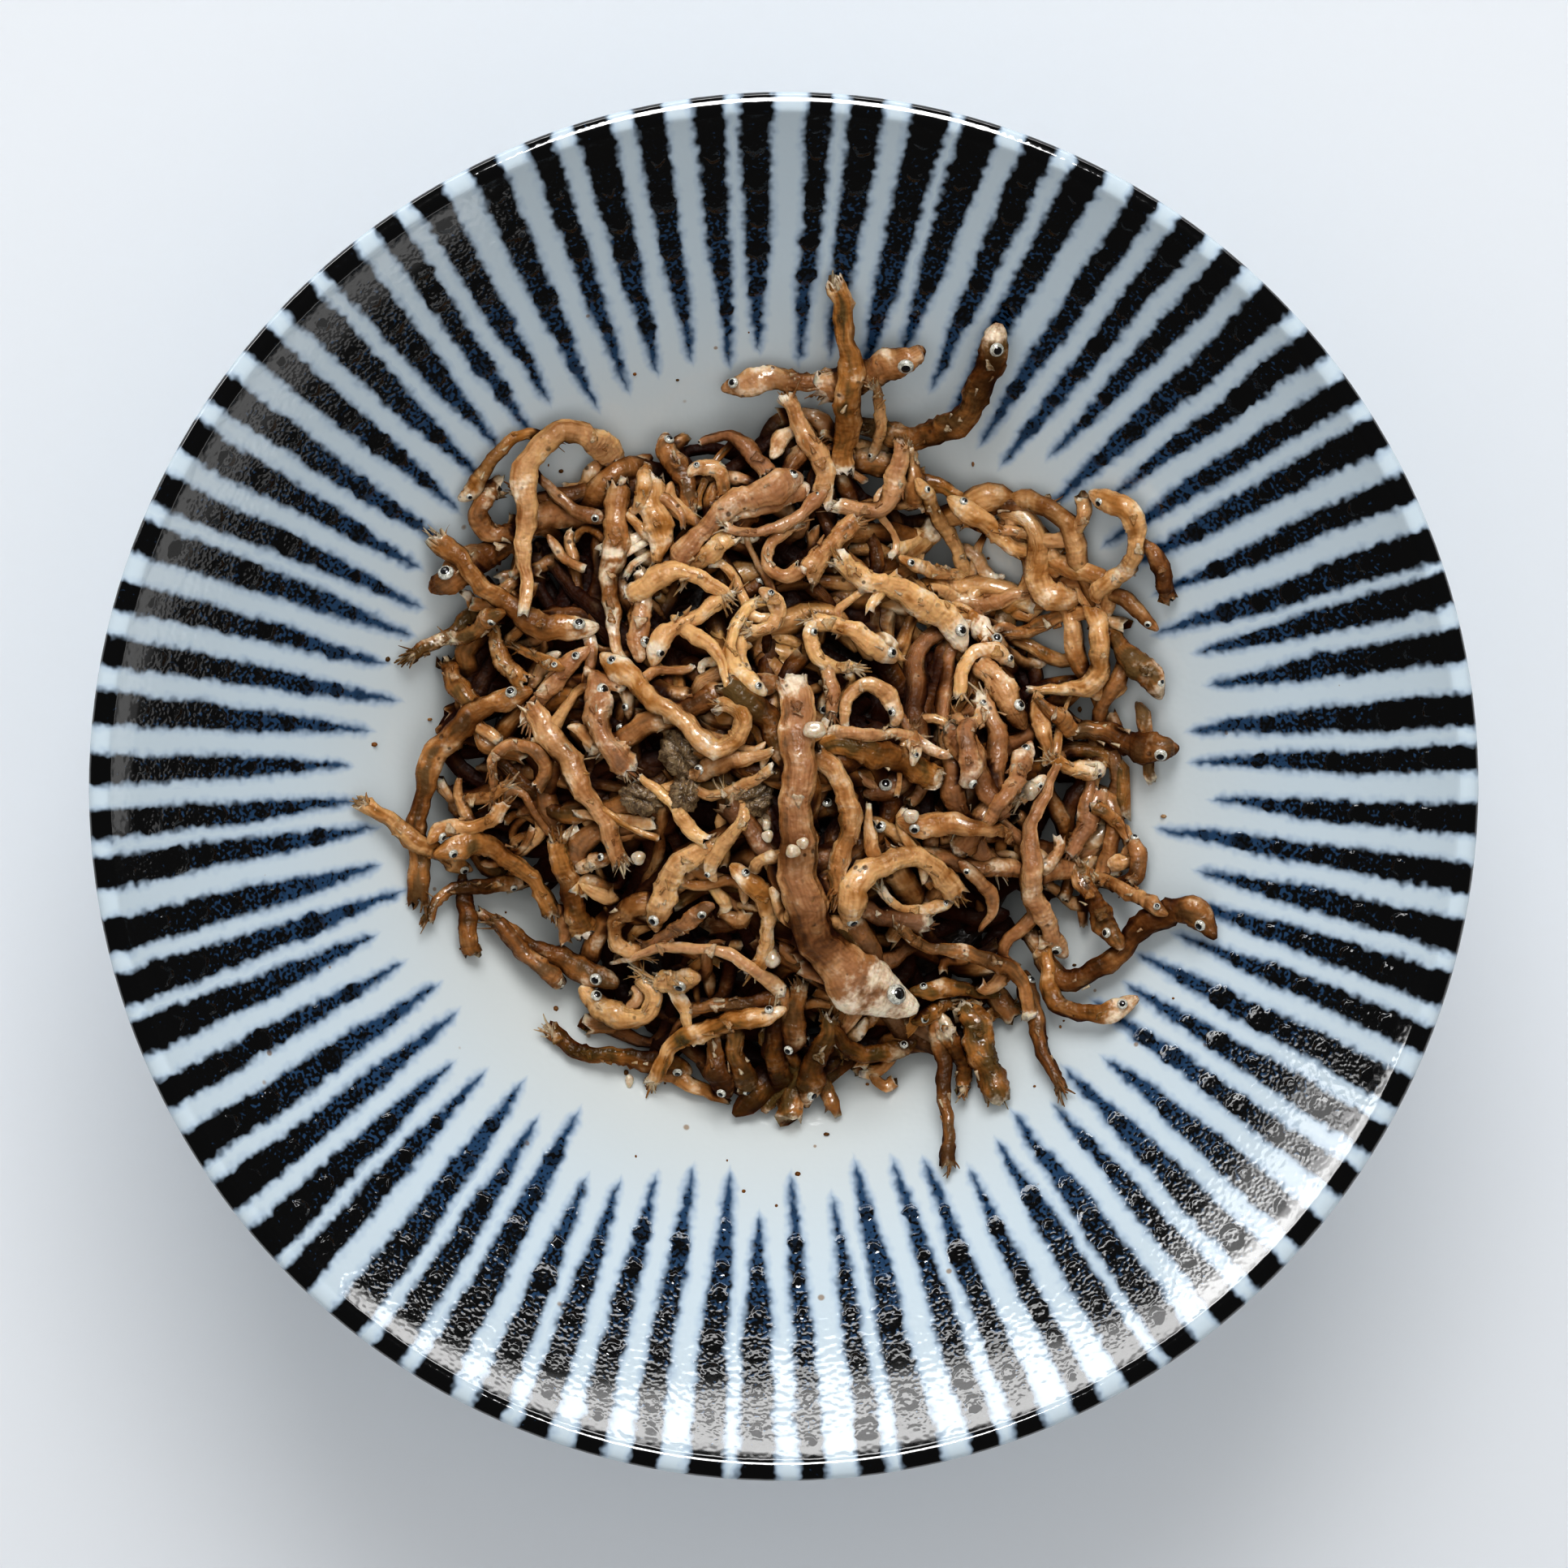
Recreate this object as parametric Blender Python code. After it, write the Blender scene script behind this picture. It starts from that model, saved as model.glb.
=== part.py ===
"""A small shallow dish with a heap of dried baby sardines cooked with sansho.

Metres, +Z up. The origin is under the middle of the foot ring. The dish is turned, and the heap is
one solid: a low mound with the fish that show lying on it and fused to it.
"""

import math

import bmesh
import bpy
import numpy as np

MM = 0.001

# The dish, outside and inside.
DISH_RADIUS = 55 * MM
DISH_HEIGHT = 32 * MM
LIP_WIDTH = 2.0 * MM
LIP_ROUNDING = 0.5 * MM
FLOOR_HEIGHT = 7 * MM
FLOOR_RADIUS = 17 * MM
WALL_CURVE = 1.4
WALL_THICKNESS = 3.5 * MM
FOOT_RADIUS = 25.5 * MM
FOOT_WIDTH = 3.4 * MM
FOOT_ROUNDING = 0.4 * MM
FOOT_RECESS = 3 * MM
DISH_SIDES = 60
WALL_STEPS = 6

# The mound of buried fish under those that show, and the gap that it keeps to the dish.
MOUND_OUTLINE = (27, 24, 20.5, 27, 30, 29, 28, 28, 28, 23, 22, 25.5, 25.5, 25.5, 26, 26)
MOUND_HEIGHT = 13 * MM
MOUND_RIM = 1 * MM
MOUND_SIDES = 32
MOUND_STEPS = 5
GAP = 0.35 * MM

# The fish. Widths are given as the largest width of each.
FISH_SIDES = 5
RING_SPACING = 5 * MM
RING_TURN = 52
FEWEST_RINGS = 4
NARROWEST = 1.35
DEPTH_TO_WIDTH = 0.9
SINK = 0.35
HOLD = 0.45 * MM
STIFFNESS = 0.75
SAMPLES = 33
BURIED_FISH = 8
BURIED_LENGTHS = (12, 20)
BURIED_WIDTHS = (1.8, 2.5)
SEED = 7
GRID_STEP = 0.5 * MM
GRID_REACH = 45 * MM

DISH_COLOUR = (0.72, 0.77, 0.80, 1)
FISH_COLOUR = (0.42, 0.20, 0.07, 1)

# Each bowed fish is (head x, head y, tail x, tail y, bow, bow, width) in millimetres. The bows push
# the fish to the left of its way from head to tail, at a third and at two thirds of that way.
# Each curled fish is (centre x, centre y, radius, bearing of the head, sweep, run, width): an arc
# round the centre, then a straight run. A negative width puts the head at the end of the run.
UNDER_BOWED = (
    (-28.3, 15.5, -20.5, 20.5, 0.0, 0.0, 2.8),
    (-24.0, 14.2, -29.8, 10.2, 0.3, 0.3, 1.6),
    (-27.0, 9.6, -24.6, 5.0, 0.0, 0.3, 2.0),
    (-4.6, 31.8, 6.4, 33.2, 0.2, -0.2, 2.1),
    (11.6, 35.0, 3.5, 31.8, 0.3, 0.3, 2.9),
    (17.4, 37.0, 7.0, 28.8, 3.3, 4.1, 2.6),
    (31.6, 15.0, 28.6, 20.5, -0.4, -0.4, 1.8),
    (31.3, 6.6, 26.3, 12.5, -0.4, -0.3, 2.2),
    (32.7, 2.6, 23.8, 4.2, 0.4, 0.0, 2.4),
    (0.4, -25.6, -0.6, -18.5, 0.2, 0.0, 2.0),
    (2.5, -27.2, 4.2, -19.5, 0.3, 0.0, 2.2),
    (-2.6, -26.6, -3.6, -19.5, 0.0, 0.2, 2.0),
    (-3.8, -26.2, -5.6, -21.0, 0.3, 0.0, 2.0),
    (-7.0, -24.4, -18.8, -20.6, 0.0, 0.8, 1.8),
    (-13.0, -17.0, -24.5, -10.8, 0.4, 0.6, 2.4),
    (-17.4, -16.9, -23.2, -11.8, 0.3, 0.0, 1.6),
    (-25.0, -14.0, -25.8, -7.8, 0.2, 0.0, 1.8),
    (11.5, -21.6, 3.8, -19.4, 1.9, 1.8, 1.7),
    (26.4, -1.2, 24.0, -6.0, 0.4, 0.2, 1.9),
    (15.0, 21.2, 22.0, 22.6, 0.4, 0.3, 1.7),
    (9.6, 23.6, 16.2, 22.2, 1.0, 1.0, 1.8),
    (-20.6, -8.6, -28.7, -11.4, -0.9, -1.5, 1.4),
    (31.0, 12.2, 21.8, 15.3, -1.4, -1.8, 1.5),
    (-26.0, 22.9, -18.6, 27.6, 0.6, 1.8, 1.4),
    (35.4, -12.8, 20.8, -12.6, -1.4, 3.4, 2.3),
    (29.4, -17.8, 21.9, -12.2, 4.1, 3.5, 1.9),
    (20.6, -16.0, 23.0, -25.3, -0.4, -0.4, 1.6),
    (13.0, -19.0, 13.9, -31.4, 0.2, 0.2, 1.6),
    (-20.0, 7.4, -29.1, -10.0, -4.3, -3.6, 2.2),
    (-25.0, -7.6, -34.0, -1.5, 0.2, 0.2, 1.7),
)
UNDER_CURLED = (
    (-22.3, 21.9, 2.0, 100, 290, 1.0, 2.0),
    (27.5, -6.6, 2.2, 60, -200, 1.0, 1.5),
)
MIDDLE_BOWED = (
    (-13.8, 21.2, -19.8, 25.6, 0.8, 0.9, 1.4),
    (-13.0, 24.0, -12.6, 9.9, -0.5, -1.0, 2.2),
    (-20.8, 8.0, -23.4, 12.4, 0.4, 0.2, 1.7),
    (-14.9, 9.0, -12.2, 1.0, -0.8, -1.0, 2.6),
    (-15.8, -12.5, -17.9, -4.6, 0.2, 0.3, 2.4),
    (-13.3, -5.7, -16.0, -7.2, 0.0, 0.0, 1.5),
    (-9.1, 28.3, -7.1, 21.8, -0.2, 0.2, 1.9),
    (-0.8, 24.8, -6.4, 27.6, -1.1, -1.3, 1.7),
    (-10.4, 24.4, -9.8, 17.6, 0.0, 0.2, 2.6),
    (-10.8, 25.4, -11.8, 21.8, 0.2, 0.2, 1.3),
    (2.0, 23.6, -4.8, 21.0, 0.0, 0.0, 1.5),
    (-3.9, 19.9, -7.8, 16.4, -0.2, -0.3, 1.7),
    (2.2, 16.6, 6.4, 21.0, 0.3, 0.5, 2.2),
    (11.0, 22.6, 10.4, 27.2, -0.4, -0.4, 1.7),
    (7.6, 25.8, 7.4, 32.2, -0.6, -0.8, 1.1),
    (11.2, 24.6, 16.4, 15.8, 0.1, 0.1, 1.5),
    (13.9, 23.0, 23.2, 18.4, -0.5, -1.1, 1.8),
    (9.9, 18.3, 16.2, 15.6, -0.2, 0.3, 1.4),
    (20.2, 4.2, 16.8, 9.6, 0.0, 0.0, 2.6),
    (26.5, 14.0, 17.8, 11.6, 0.0, 0.2, 1.5),
    (26.9, 0.3, 22.4, 1.7, 0.0, 0.2, 1.7),
    (26.0, -2.3, 28.8, -5.0, 0.2, 0.3, 1.5),
    (31.6, -10.9, 26.0, -8.3, -0.2, -0.4, 1.4),
    (28.0, -13.8, 24.8, -7.2, 0.2, 0.3, 2.2),
    (14.2, 4.0, 18.0, -2.6, 0.0, 0.0, 2.6),
    (12.5, 0.3, 3.0, 2.9, -0.7, -0.9, 2.6),
    (3.8, 9.3, 4.1, 5.6, 0.0, 0.1, 1.5),
    (-11.4, 9.7, -10.9, 16.8, 0.1, 0.2, 2.1),
    (-7.5, 0.5, -0.6, 2.9, 0.2, 0.1, 1.9),
    (-5.3, -10.0, -11.0, -13.6, -0.2, 0.2, 1.6),
    (0.0, -17.7, -7.2, -18.6, 0.1, 0.2, 1.6),
    (20.7, -19.5, 9.5, -11.6, -2.2, -0.5, 1.5),
    (10.7, -17.4, 18.3, -17.9, 0.4, 0.3, 1.6),
    (11.0, -20.0, 14.2, -18.5, 0.0, 0.2, 1.5),
    (14.1, -20.1, 19.7, -18.9, -0.2, -0.1, 1.6),
    (15.6, -19.0, 17.9, -25.8, 0.2, 0.0, 3.0),
    (13.4, -19.2, 15.3, -25.6, 0.2, 0.4, 1.6),
    (1.2, -22.6, 1.6, -16.8, 0.2, 0.0, 2.0),
    (0.6, -18.6, -10.2, -25.0, -1.2, -2.0, 1.9),
    (14.5, -6.5, 16.6, -12.4, 1.2, 1.6, 1.3),
)
MIDDLE_CURLED = (
    (-6.0, 24.2, 1.4, 160, -160, 2.2, 1.4),
    (-11.2, -12.1, 2.1, 60, 200, 0.6, 2.0),
    (-19.9, 4.0, 1.0, 100, -250, 0.0, 1.1),
)
UPPER_BOWED = (
    (-14.6, 12.6, -27.7, 19.7, 2.2, 1.5, 2.2),
    (-22.2, 13.8, -26.4, 11.6, 0.0, 0.2, 1.6),
    (-15.4, 10.9, -20.3, 4.9, -0.4, -0.6, 1.7),
    (-17.4, 9.2, -21.1, 10.8, 0.2, 0.0, 1.1),
    (-20.2, 6.2, -12.7, -6.6, 0.3, 0.3, 2.2),
    (-25.5, -1.5, -22.0, -0.2, -0.4, -0.3, 1.2),
    (-28.5, -5.1, -22.4, -2.0, 0.2, -0.5, 1.6),
    (-28.1, -6.1, -18.2, -10.9, 2.5, 1.9, 2.0),
    (1.9, 24.7, -8.1, 17.4, -1.2, -1.5, 2.4),
    (3.4, 22.6, 0.5, 31.2, -1.0, -0.6, 2.0),
    (10.1, 27.6, 4.7, 22.3, 1.9, 2.5, 1.9),
    (5.1, 25.2, 4.2, 40.4, -0.7, -0.9, 2.4),
    (25.2, 23.4, 25.9, 15.0, 3.4, 3.0, 2.0),
    (13.5, 14.6, 22.5, 16.1, -0.7, -0.8, 1.7),
    (25.8, 14.1, 20.6, 7.5, 3.1, 3.5, 2.0),
    (23.9, -14.8, 23.0, 1.2, 2.6, 2.6, 2.0),
    (21.3, 7.2, 21.9, 1.2, 0.0, 0.1, 1.6),
    (24.3, 3.7, 21.4, 6.6, 0.0, 0.1, 1.6),
    (20.7, 3.1, 16.5, -3.5, 0.2, 0.2, 1.7),
    (9.4, -3.0, 19.1, -4.9, 0.1, 0.7, 2.0),
    (14.2, -10.0, 8.0, -8.6, 1.0, 1.2, 1.1),
    (2.6, 2.3, 4.3, -9.2, 2.2, 1.4, 2.1),
    (10.6, 1.4, 10.8, 4.2, 0.0, 0.0, 1.2),
    (19.0, 10.0, 14.2, 14.0, -0.3, -0.3, 2.2),
    (-8.8, 13.5, -4.5, 7.6, 0.6, 1.1, 1.3),
    (-10.3, 9.4, -4.0, 15.2, 1.1, 0.6, 1.8),
    (-12.0, 15.2, -4.4, 14.8, 1.6, 1.9, 1.9),
    (-0.8, 1.3, -7.0, -0.4, 0.7, 1.0, 1.2),
    (-10.0, -12.3, -5.4, -4.8, 1.2, 1.3, 2.3),
    (-4.1, -6.6, -2.2, -15.3, 1.9, 2.0, 1.8),
    (-6.4, -16.0, -9.9, -16.5, 0.0, 0.0, 2.3),
)
UPPER_CURLED = (
    (-16.9, 24.6, 3.7, 20, 160, 11.0, 2.4),
    (-21.2, 1.0, 2.1, -45, 225, 2.6, 1.3),
    (0.5, 18.4, 1.6, -40, -200, 2.0, 1.4),
    (22.6, 21.9, 2.3, 30, -130, 4.0, 1.4),
    (7.2, 5.6, 2.2, -30, 230, 0.5, 1.7),
    (15.5, 5.7, 1.1, 60, -200, 0.3, 1.3),
    (-2.0, 13.9, 1.7, 80, -170, 0.5, 1.5),
    (-12.3, -17.8, 2.0, 60, -190, 3.4, -2.1),
)
TOP_BOWED = (
    (11.4, -18.8, 0.9, 8.4, 5.7, 3.5, 4.2),
    (15.3, 10.4, 4.5, 18.1, -1.4, -0.5, 2.4),
    (3.5, 4.1, 11.0, 3.5, 0.2, 0.3, 1.3),
    (3.9, 23.7, -4.5, 20.8, 1.2, 1.6, 1.2),
    (9.5, 9.8, 2.5, 13.3, -0.4, -0.4, 2.0),
    (15.0, -0.4, 15.2, 4.8, 0.0, 0.1, 1.9),
    (-1.3, 7.2, -1.8, 14.6, 2.2, 2.4, 1.4),
    (-6.0, -4.7, -11.3, 0.6, 0.1, -0.1, 1.5),
    (-5.2, -8.0, -4.6, -0.7, 0.2, -1.5, 1.3),
    (0.3, -17.3, -13.5, -15.2, -2.4, -2.4, 1.3),
    (21.9, 0.3, 19.6, -1.6, 0.0, 0.0, 1.3),
)
TOP_CURLED = (
    (10.0, -10.6, 4.5, 195, -165, 1.0, 2.4),
    (4.3, 11.6, 2.0, 130, 130, 2.0, 1.5),
    (17.2, 8.1, 2.4, 25, 160, 1.0, 1.5),
    (-4.9, 4.7, 1.8, 100, -230, 11.0, -2.0),
)
LEVELS = (
    (UNDER_BOWED, UNDER_CURLED),
    (MIDDLE_BOWED, MIDDLE_CURLED),
    (UPPER_BOWED, UPPER_CURLED),
    (TOP_BOWED, TOP_CURLED),
)


def clear_scene():
    for obj in list(bpy.data.objects):
        bpy.data.objects.remove(obj)


def material(name, colour, roughness):
    made = bpy.data.materials.new(name)
    made.use_nodes = True
    shader = made.node_tree.nodes["Principled BSDF"]
    shader.inputs["Base Color"].default_value = colour
    shader.inputs["Roughness"].default_value = roughness
    shader.inputs["Metallic"].default_value = 0.0
    return made


def new_object(name, mesh, finish):
    obj = bpy.data.objects.new(name, mesh)
    bpy.context.scene.collection.objects.link(obj)
    mesh.materials.append(finish)
    return obj


def inside_height(radius):
    """Height of the dish's inner surface at this distance from its axis."""
    wall_top = DISH_RADIUS - LIP_WIDTH
    depth = DISH_HEIGHT - LIP_ROUNDING - FLOOR_HEIGHT
    rise = np.clip((radius - FLOOR_RADIUS) / (wall_top - FLOOR_RADIUS), 0, 1)
    return FLOOR_HEIGHT + depth * rise**WALL_CURVE


def inside_slope(radius):
    step = 0.1 * MM
    return (inside_height(radius + step) - inside_height(radius - step)) / (2 * step)


def turned_mesh(name, profile, sides):
    """A closed solid turned round Z from (radius, height) points that run from axis to axis."""
    bm = bmesh.new()
    points = [bm.verts.new((radius, 0, height)) for radius, height in profile]
    edges = [bm.edges.new(pair) for pair in zip(points, points[1:])]
    bmesh.ops.spin(
        bm,
        geom=points + edges,
        cent=(0, 0, 0),
        axis=(0, 0, 1),
        angle=math.tau,
        steps=sides,
        use_merge=True,
    )
    bmesh.ops.remove_doubles(bm, verts=bm.verts, dist=0.001 * MM)
    bmesh.ops.recalc_face_normals(bm, faces=bm.faces)
    mesh = bpy.data.meshes.new(name)
    bm.to_mesh(mesh)
    bm.free()
    return mesh


def dish_profile():
    """Half the dish's section: up the inside, over the lip, down the outside and under the foot."""
    wall_top = DISH_RADIUS - LIP_WIDTH
    inner = np.linspace(FLOOR_RADIUS, wall_top, WALL_STEPS + 1)
    inside = [(0, FLOOR_HEIGHT)]
    inside += [(radius, inside_height(radius)) for radius in inner]
    lip = [
        (wall_top + LIP_ROUNDING, DISH_HEIGHT),
        (DISH_RADIUS - LIP_ROUNDING, DISH_HEIGHT),
        (DISH_RADIUS, DISH_HEIGHT - 2 * LIP_ROUNDING),
    ]
    outside = []
    for radius in inner[:2:-1]:
        slope = inside_slope(radius)
        drop = WALL_THICKNESS * math.hypot(1, slope)
        outside.append((radius, inside_height(radius) - drop))
    foot_top = inside_height(FOOT_RADIUS) - WALL_THICKNESS
    inner_foot = FOOT_RADIUS - FOOT_WIDTH
    foot = [
        (FOOT_RADIUS + FOOT_ROUNDING, foot_top),
        (FOOT_RADIUS, FOOT_ROUNDING),
        (FOOT_RADIUS - FOOT_ROUNDING, 0),
        (inner_foot + FOOT_ROUNDING, 0),
        (inner_foot, FOOT_ROUNDING),
        (inner_foot - 2 * FOOT_ROUNDING, FOOT_RECESS),
        (0, FOOT_RECESS),
    ]
    return inside + lip + outside + foot


def make_dish(finish):
    dish = new_object("dish", turned_mesh("dish", dish_profile(), DISH_SIDES), finish)
    dish.data.shade_smooth()
    return dish


def mound_reach(bearing):
    """How far the buried fish reach in this direction from the middle."""
    radii = np.array(MOUND_OUTLINE + MOUND_OUTLINE[:1]) * MM
    return np.interp(bearing % math.tau, np.linspace(0, math.tau, len(radii)), radii)


def mound_top(x, y):
    """Height of the buried fish, which the ones that show lie on."""
    share = np.clip(1 - (x * x + y * y) / mound_reach(np.arctan2(y, x)) ** 2, 0, 1)
    return inside_height(np.hypot(x, y)) + MOUND_RIM * (share > 0) + MOUND_HEIGHT * share**0.7


def mound_mesh(name):
    """Rings of an uneven outline over the mound's top, and back under it just above the dish."""
    shares = [math.sin(0.5 * math.pi * step / MOUND_STEPS) for step in range(1, MOUND_STEPS)]
    rings = [(share, None) for share in shares]
    rings += [(1, MOUND_RIM), (0.985, GAP), (0.85, GAP), (0.65, GAP)]
    bm = bmesh.new()
    top = bm.verts.new((0, 0, mound_top(0, 0)))
    bottom = bm.verts.new((0, 0, FLOOR_HEIGHT + GAP))
    loops = []
    for share, clearance in rings:
        loop = []
        for side in range(MOUND_SIDES):
            bearing = math.tau * side / MOUND_SIDES
            radius = share * float(mound_reach(bearing))
            x, y = radius * math.cos(bearing), radius * math.sin(bearing)
            height = mound_top(x, y) if clearance is None else inside_height(radius) + clearance
            loop.append(bm.verts.new((x, y, float(height))))
        loops.append(loop)
    for side in range(MOUND_SIDES):
        after = (side + 1) % MOUND_SIDES
        bm.faces.new((top, loops[0][side], loops[0][after]))
        bm.faces.new((bottom, loops[-1][after], loops[-1][side]))
        for outer, inner in zip(loops[1:], loops):
            bm.faces.new((inner[side], outer[side], outer[after], inner[after]))
    bmesh.ops.triangulate(bm, faces=bm.faces)
    bmesh.ops.recalc_face_normals(bm, faces=bm.faces)
    mesh = bpy.data.meshes.new(name)
    bm.to_mesh(mesh)
    bm.free()
    return mesh


def bowed_route(row):
    """Points of a bowed fish, seen from above, from its head to its tail."""
    head, tail = np.array(row[0:2]) * MM, np.array(row[2:4]) * MM
    first_bow, second_bow = row[4] * MM, row[5] * MM
    way = tail - head
    left = np.array((-way[1], way[0])) / np.hypot(*way)
    t = np.linspace(0, 1, SAMPLES)
    first = 13.5 * t * (1 - t) * (2 / 3 - t)
    second = 13.5 * t * (1 - t) * (t - 1 / 3)
    side = first * first_bow + second * second_bow
    return head + t[:, None] * way + side[:, None] * left


def curled_route(row):
    """Points of a curled fish, seen from above, from its head to its tail."""
    centre, radius = np.array(row[0:2]) * MM, row[2] * MM
    start, sweep, run = math.radians(row[3]), math.radians(row[4]), row[5] * MM
    arc_length = radius * abs(sweep)
    distance = np.linspace(0, arc_length + run, SAMPLES)
    bearing = start + np.minimum(distance, arc_length) / radius * math.copysign(1, sweep)
    points = centre + radius * np.stack((np.cos(bearing), np.sin(bearing)), 1)
    heading = start + sweep + math.copysign(0.5 * math.pi, sweep)
    beyond = np.maximum(distance - arc_length, 0)
    points += beyond[:, None] * np.array((math.cos(heading), math.sin(heading)))
    return points[::-1] if row[6] < 0 else points


def half_widths(width, count):
    """Half the fish's width along it: a blunt snout, a full head and a long taper to the tail."""
    t = np.linspace(0, 1, count)
    snout = np.sqrt(np.clip(t / 0.16, 0, 1))
    tail = 1 - 0.62 * np.clip((t - 0.35) / 0.65, 0, 1) ** 1.6
    return 0.5 * width * np.maximum(snout, 0.45) * tail


def upper_hull(distance, height):
    """The taut line over a row of heights, as a stiff fish would lie on them."""
    kept = []
    for index in range(len(distance)):
        while len(kept) > 1:
            a, b = kept[-2], kept[-1]
            rise_ab = (height[b] - height[a]) * (distance[index] - distance[a])
            rise_ai = (height[index] - height[a]) * (distance[b] - distance[a])
            if rise_ab > rise_ai:
                break
            kept.pop()
        kept.append(index)
    return np.interp(distance, distance[kept], height[kept])


class Heap:
    """A grid of how high the heap stands, which each fish is laid on and then added to."""

    def __init__(self):
        count = int(round(2 * GRID_REACH / GRID_STEP)) + 1
        self.line = np.linspace(-GRID_REACH, GRID_REACH, count)
        self.x, self.y = np.meshgrid(self.line, self.line, indexing="ij")
        radius = np.hypot(self.x, self.y)
        self.dish = inside_height(radius)
        self.tilt = np.hypot(1, inside_slope(radius))
        self.top = np.maximum(mound_top(self.x, self.y), self.dish)

    def near(self, point, reach):
        """The part of the grid round a point, and the distances from it."""
        low = np.searchsorted(self.line, point - reach - GRID_STEP)
        high = np.searchsorted(self.line, point + reach + GRID_STEP)
        window = (slice(low[0], high[0]), slice(low[1], high[1]))
        return window, np.hypot(self.x[window] - point[0], self.y[window] - point[1])

    def rest(self, point, half_width):
        """Lowest height for the middle of a fish here: on the heap, and clear of the dish."""
        window, away = self.near(point, half_width)
        close = away < max(half_width, GRID_STEP)
        half_depth = half_width * DEPTH_TO_WIDTH
        on_dish = self.dish[window] + (half_width + GAP) * self.tilt[window]
        on_heap = self.top[window] + half_depth * (1 - 2 * SINK)
        return max(on_dish[close].max(), on_heap[close].max()), on_dish[close].max()

    def clearance(self, route, half, height):
        """Least distance between the underside of a fish and the heap below it."""
        cells = np.rint((route + GRID_REACH) / GRID_STEP).astype(int)
        below = self.top[cells[:, 0], cells[:, 1]]
        bare = below <= self.dish[cells[:, 0], cells[:, 1]]
        distances = height - 0.8 * DEPTH_TO_WIDTH * half - below
        return -HOLD if bare.all() else distances[~bare].min()

    def lay(self, route, half):
        """Heights of a fish's middle line once it lies on the heap."""
        rests = np.array([self.rest(point, size) for point, size in zip(route, half)])
        steps = np.hypot(*np.diff(route, axis=0).T)
        distance = np.concatenate(((0,), np.cumsum(steps)))
        taut = upper_hull(distance, rests[:, 0])
        slack = np.convolve(np.pad(rests[:, 0], 3, mode="edge"), np.ones(7) / 7, "valid")
        height = STIFFNESS * taut + (1 - STIFFNESS) * slack
        height -= max(self.clearance(route, half, height) + HOLD, 0)
        height = np.maximum(height, rests[:, 1])
        for point, size, middle in zip(route, half, height):
            window, away = self.near(point, size)
            crown = middle + DEPTH_TO_WIDTH * np.sqrt(np.clip(size**2 - away**2, 0, None))
            inside = away < size
            self.top[window] = np.where(inside, np.maximum(self.top[window], crown), self.top[window])
        return height


def buried_rows():
    """Bowed fish at random over the mound, which show in the gaps between the others."""
    random = np.random.default_rng(SEED)
    rows = []
    while len(rows) < BURIED_FISH:
        length, width = random.uniform(*BURIED_LENGTHS), random.uniform(*BURIED_WIDTHS)
        middle = random.uniform(-27, 27, 2)
        turn = random.uniform(0, math.tau)
        half = 0.5 * length * np.array((math.cos(turn), math.sin(turn)))
        bow = random.uniform(-3, 3)
        ends = np.array((middle + half, middle - half))
        reach = mound_reach(np.arctan2(ends[:, 1], ends[:, 0]))
        if np.all(np.hypot(*ends.T) * MM < reach):
            rows.append((*ends.ravel(), bow, bow, width))
    return rows


def laid_fish():
    """Route, half widths and heights of each fish, from the lowest to the highest."""
    heap = Heap()
    laid = []
    for bowed, curled in ((buried_rows(), ()), *LEVELS):
        routes = [(bowed_route(row), row[6]) for row in bowed]
        routes += [(curled_route(row), abs(row[6])) for row in curled]
        for route, width in routes:
            if width < NARROWEST:
                continue
            half = half_widths(width * MM, SAMPLES)
            laid.append((route, half, heap.lay(route, half)))
    return laid


def fish_mesh(name, route, half, height):
    """A fish with few sides: rings round its middle line, bridged and capped."""
    line = np.column_stack((route, height))
    steps = np.diff(line, axis=0)
    distance = np.concatenate(((0,), np.cumsum(np.linalg.norm(steps, axis=1))))
    headings = np.degrees(np.unwrap(np.arctan2(steps[:, 1], steps[:, 0])))
    turning = np.abs(np.diff(headings)).sum()
    rings = math.ceil(max(distance[-1] / RING_SPACING, turning / RING_TURN, FEWEST_RINGS - 1)) + 1
    places = np.linspace(0, distance[-1], rings)
    middle = np.column_stack([np.interp(places, distance, line[:, axis]) for axis in range(3)])
    sizes = np.interp(places, distance, half)
    along = np.gradient(middle, axis=0)
    along /= np.linalg.norm(along, axis=1)[:, None]
    across = np.cross(along, (0, 0, 1))
    across /= np.linalg.norm(across, axis=1)[:, None]
    upward = np.cross(across, along)
    bm = bmesh.new()
    loops = []
    for ring in range(rings):
        corners = []
        for side in range(FISH_SIDES):
            turn = math.tau * side / FISH_SIDES + 0.5 * math.pi
            offset = math.cos(turn) * across[ring] + math.sin(turn) * DEPTH_TO_WIDTH * upward[ring]
            corners.append(bm.verts.new(middle[ring] + sizes[ring] * offset))
        loops.append(corners)
    for first, second in zip(loops, loops[1:]):
        for side in range(FISH_SIDES):
            after = (side + 1) % FISH_SIDES
            bm.faces.new((first[side], first[after], second[after], second[side]))
    bm.faces.new(loops[0][::-1])
    bm.faces.new(loops[-1])
    bmesh.ops.triangulate(bm, faces=bm.faces)
    bmesh.ops.recalc_face_normals(bm, faces=bm.faces)
    mesh = bpy.data.meshes.new(name)
    bm.to_mesh(mesh)
    bm.free()
    return mesh


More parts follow.
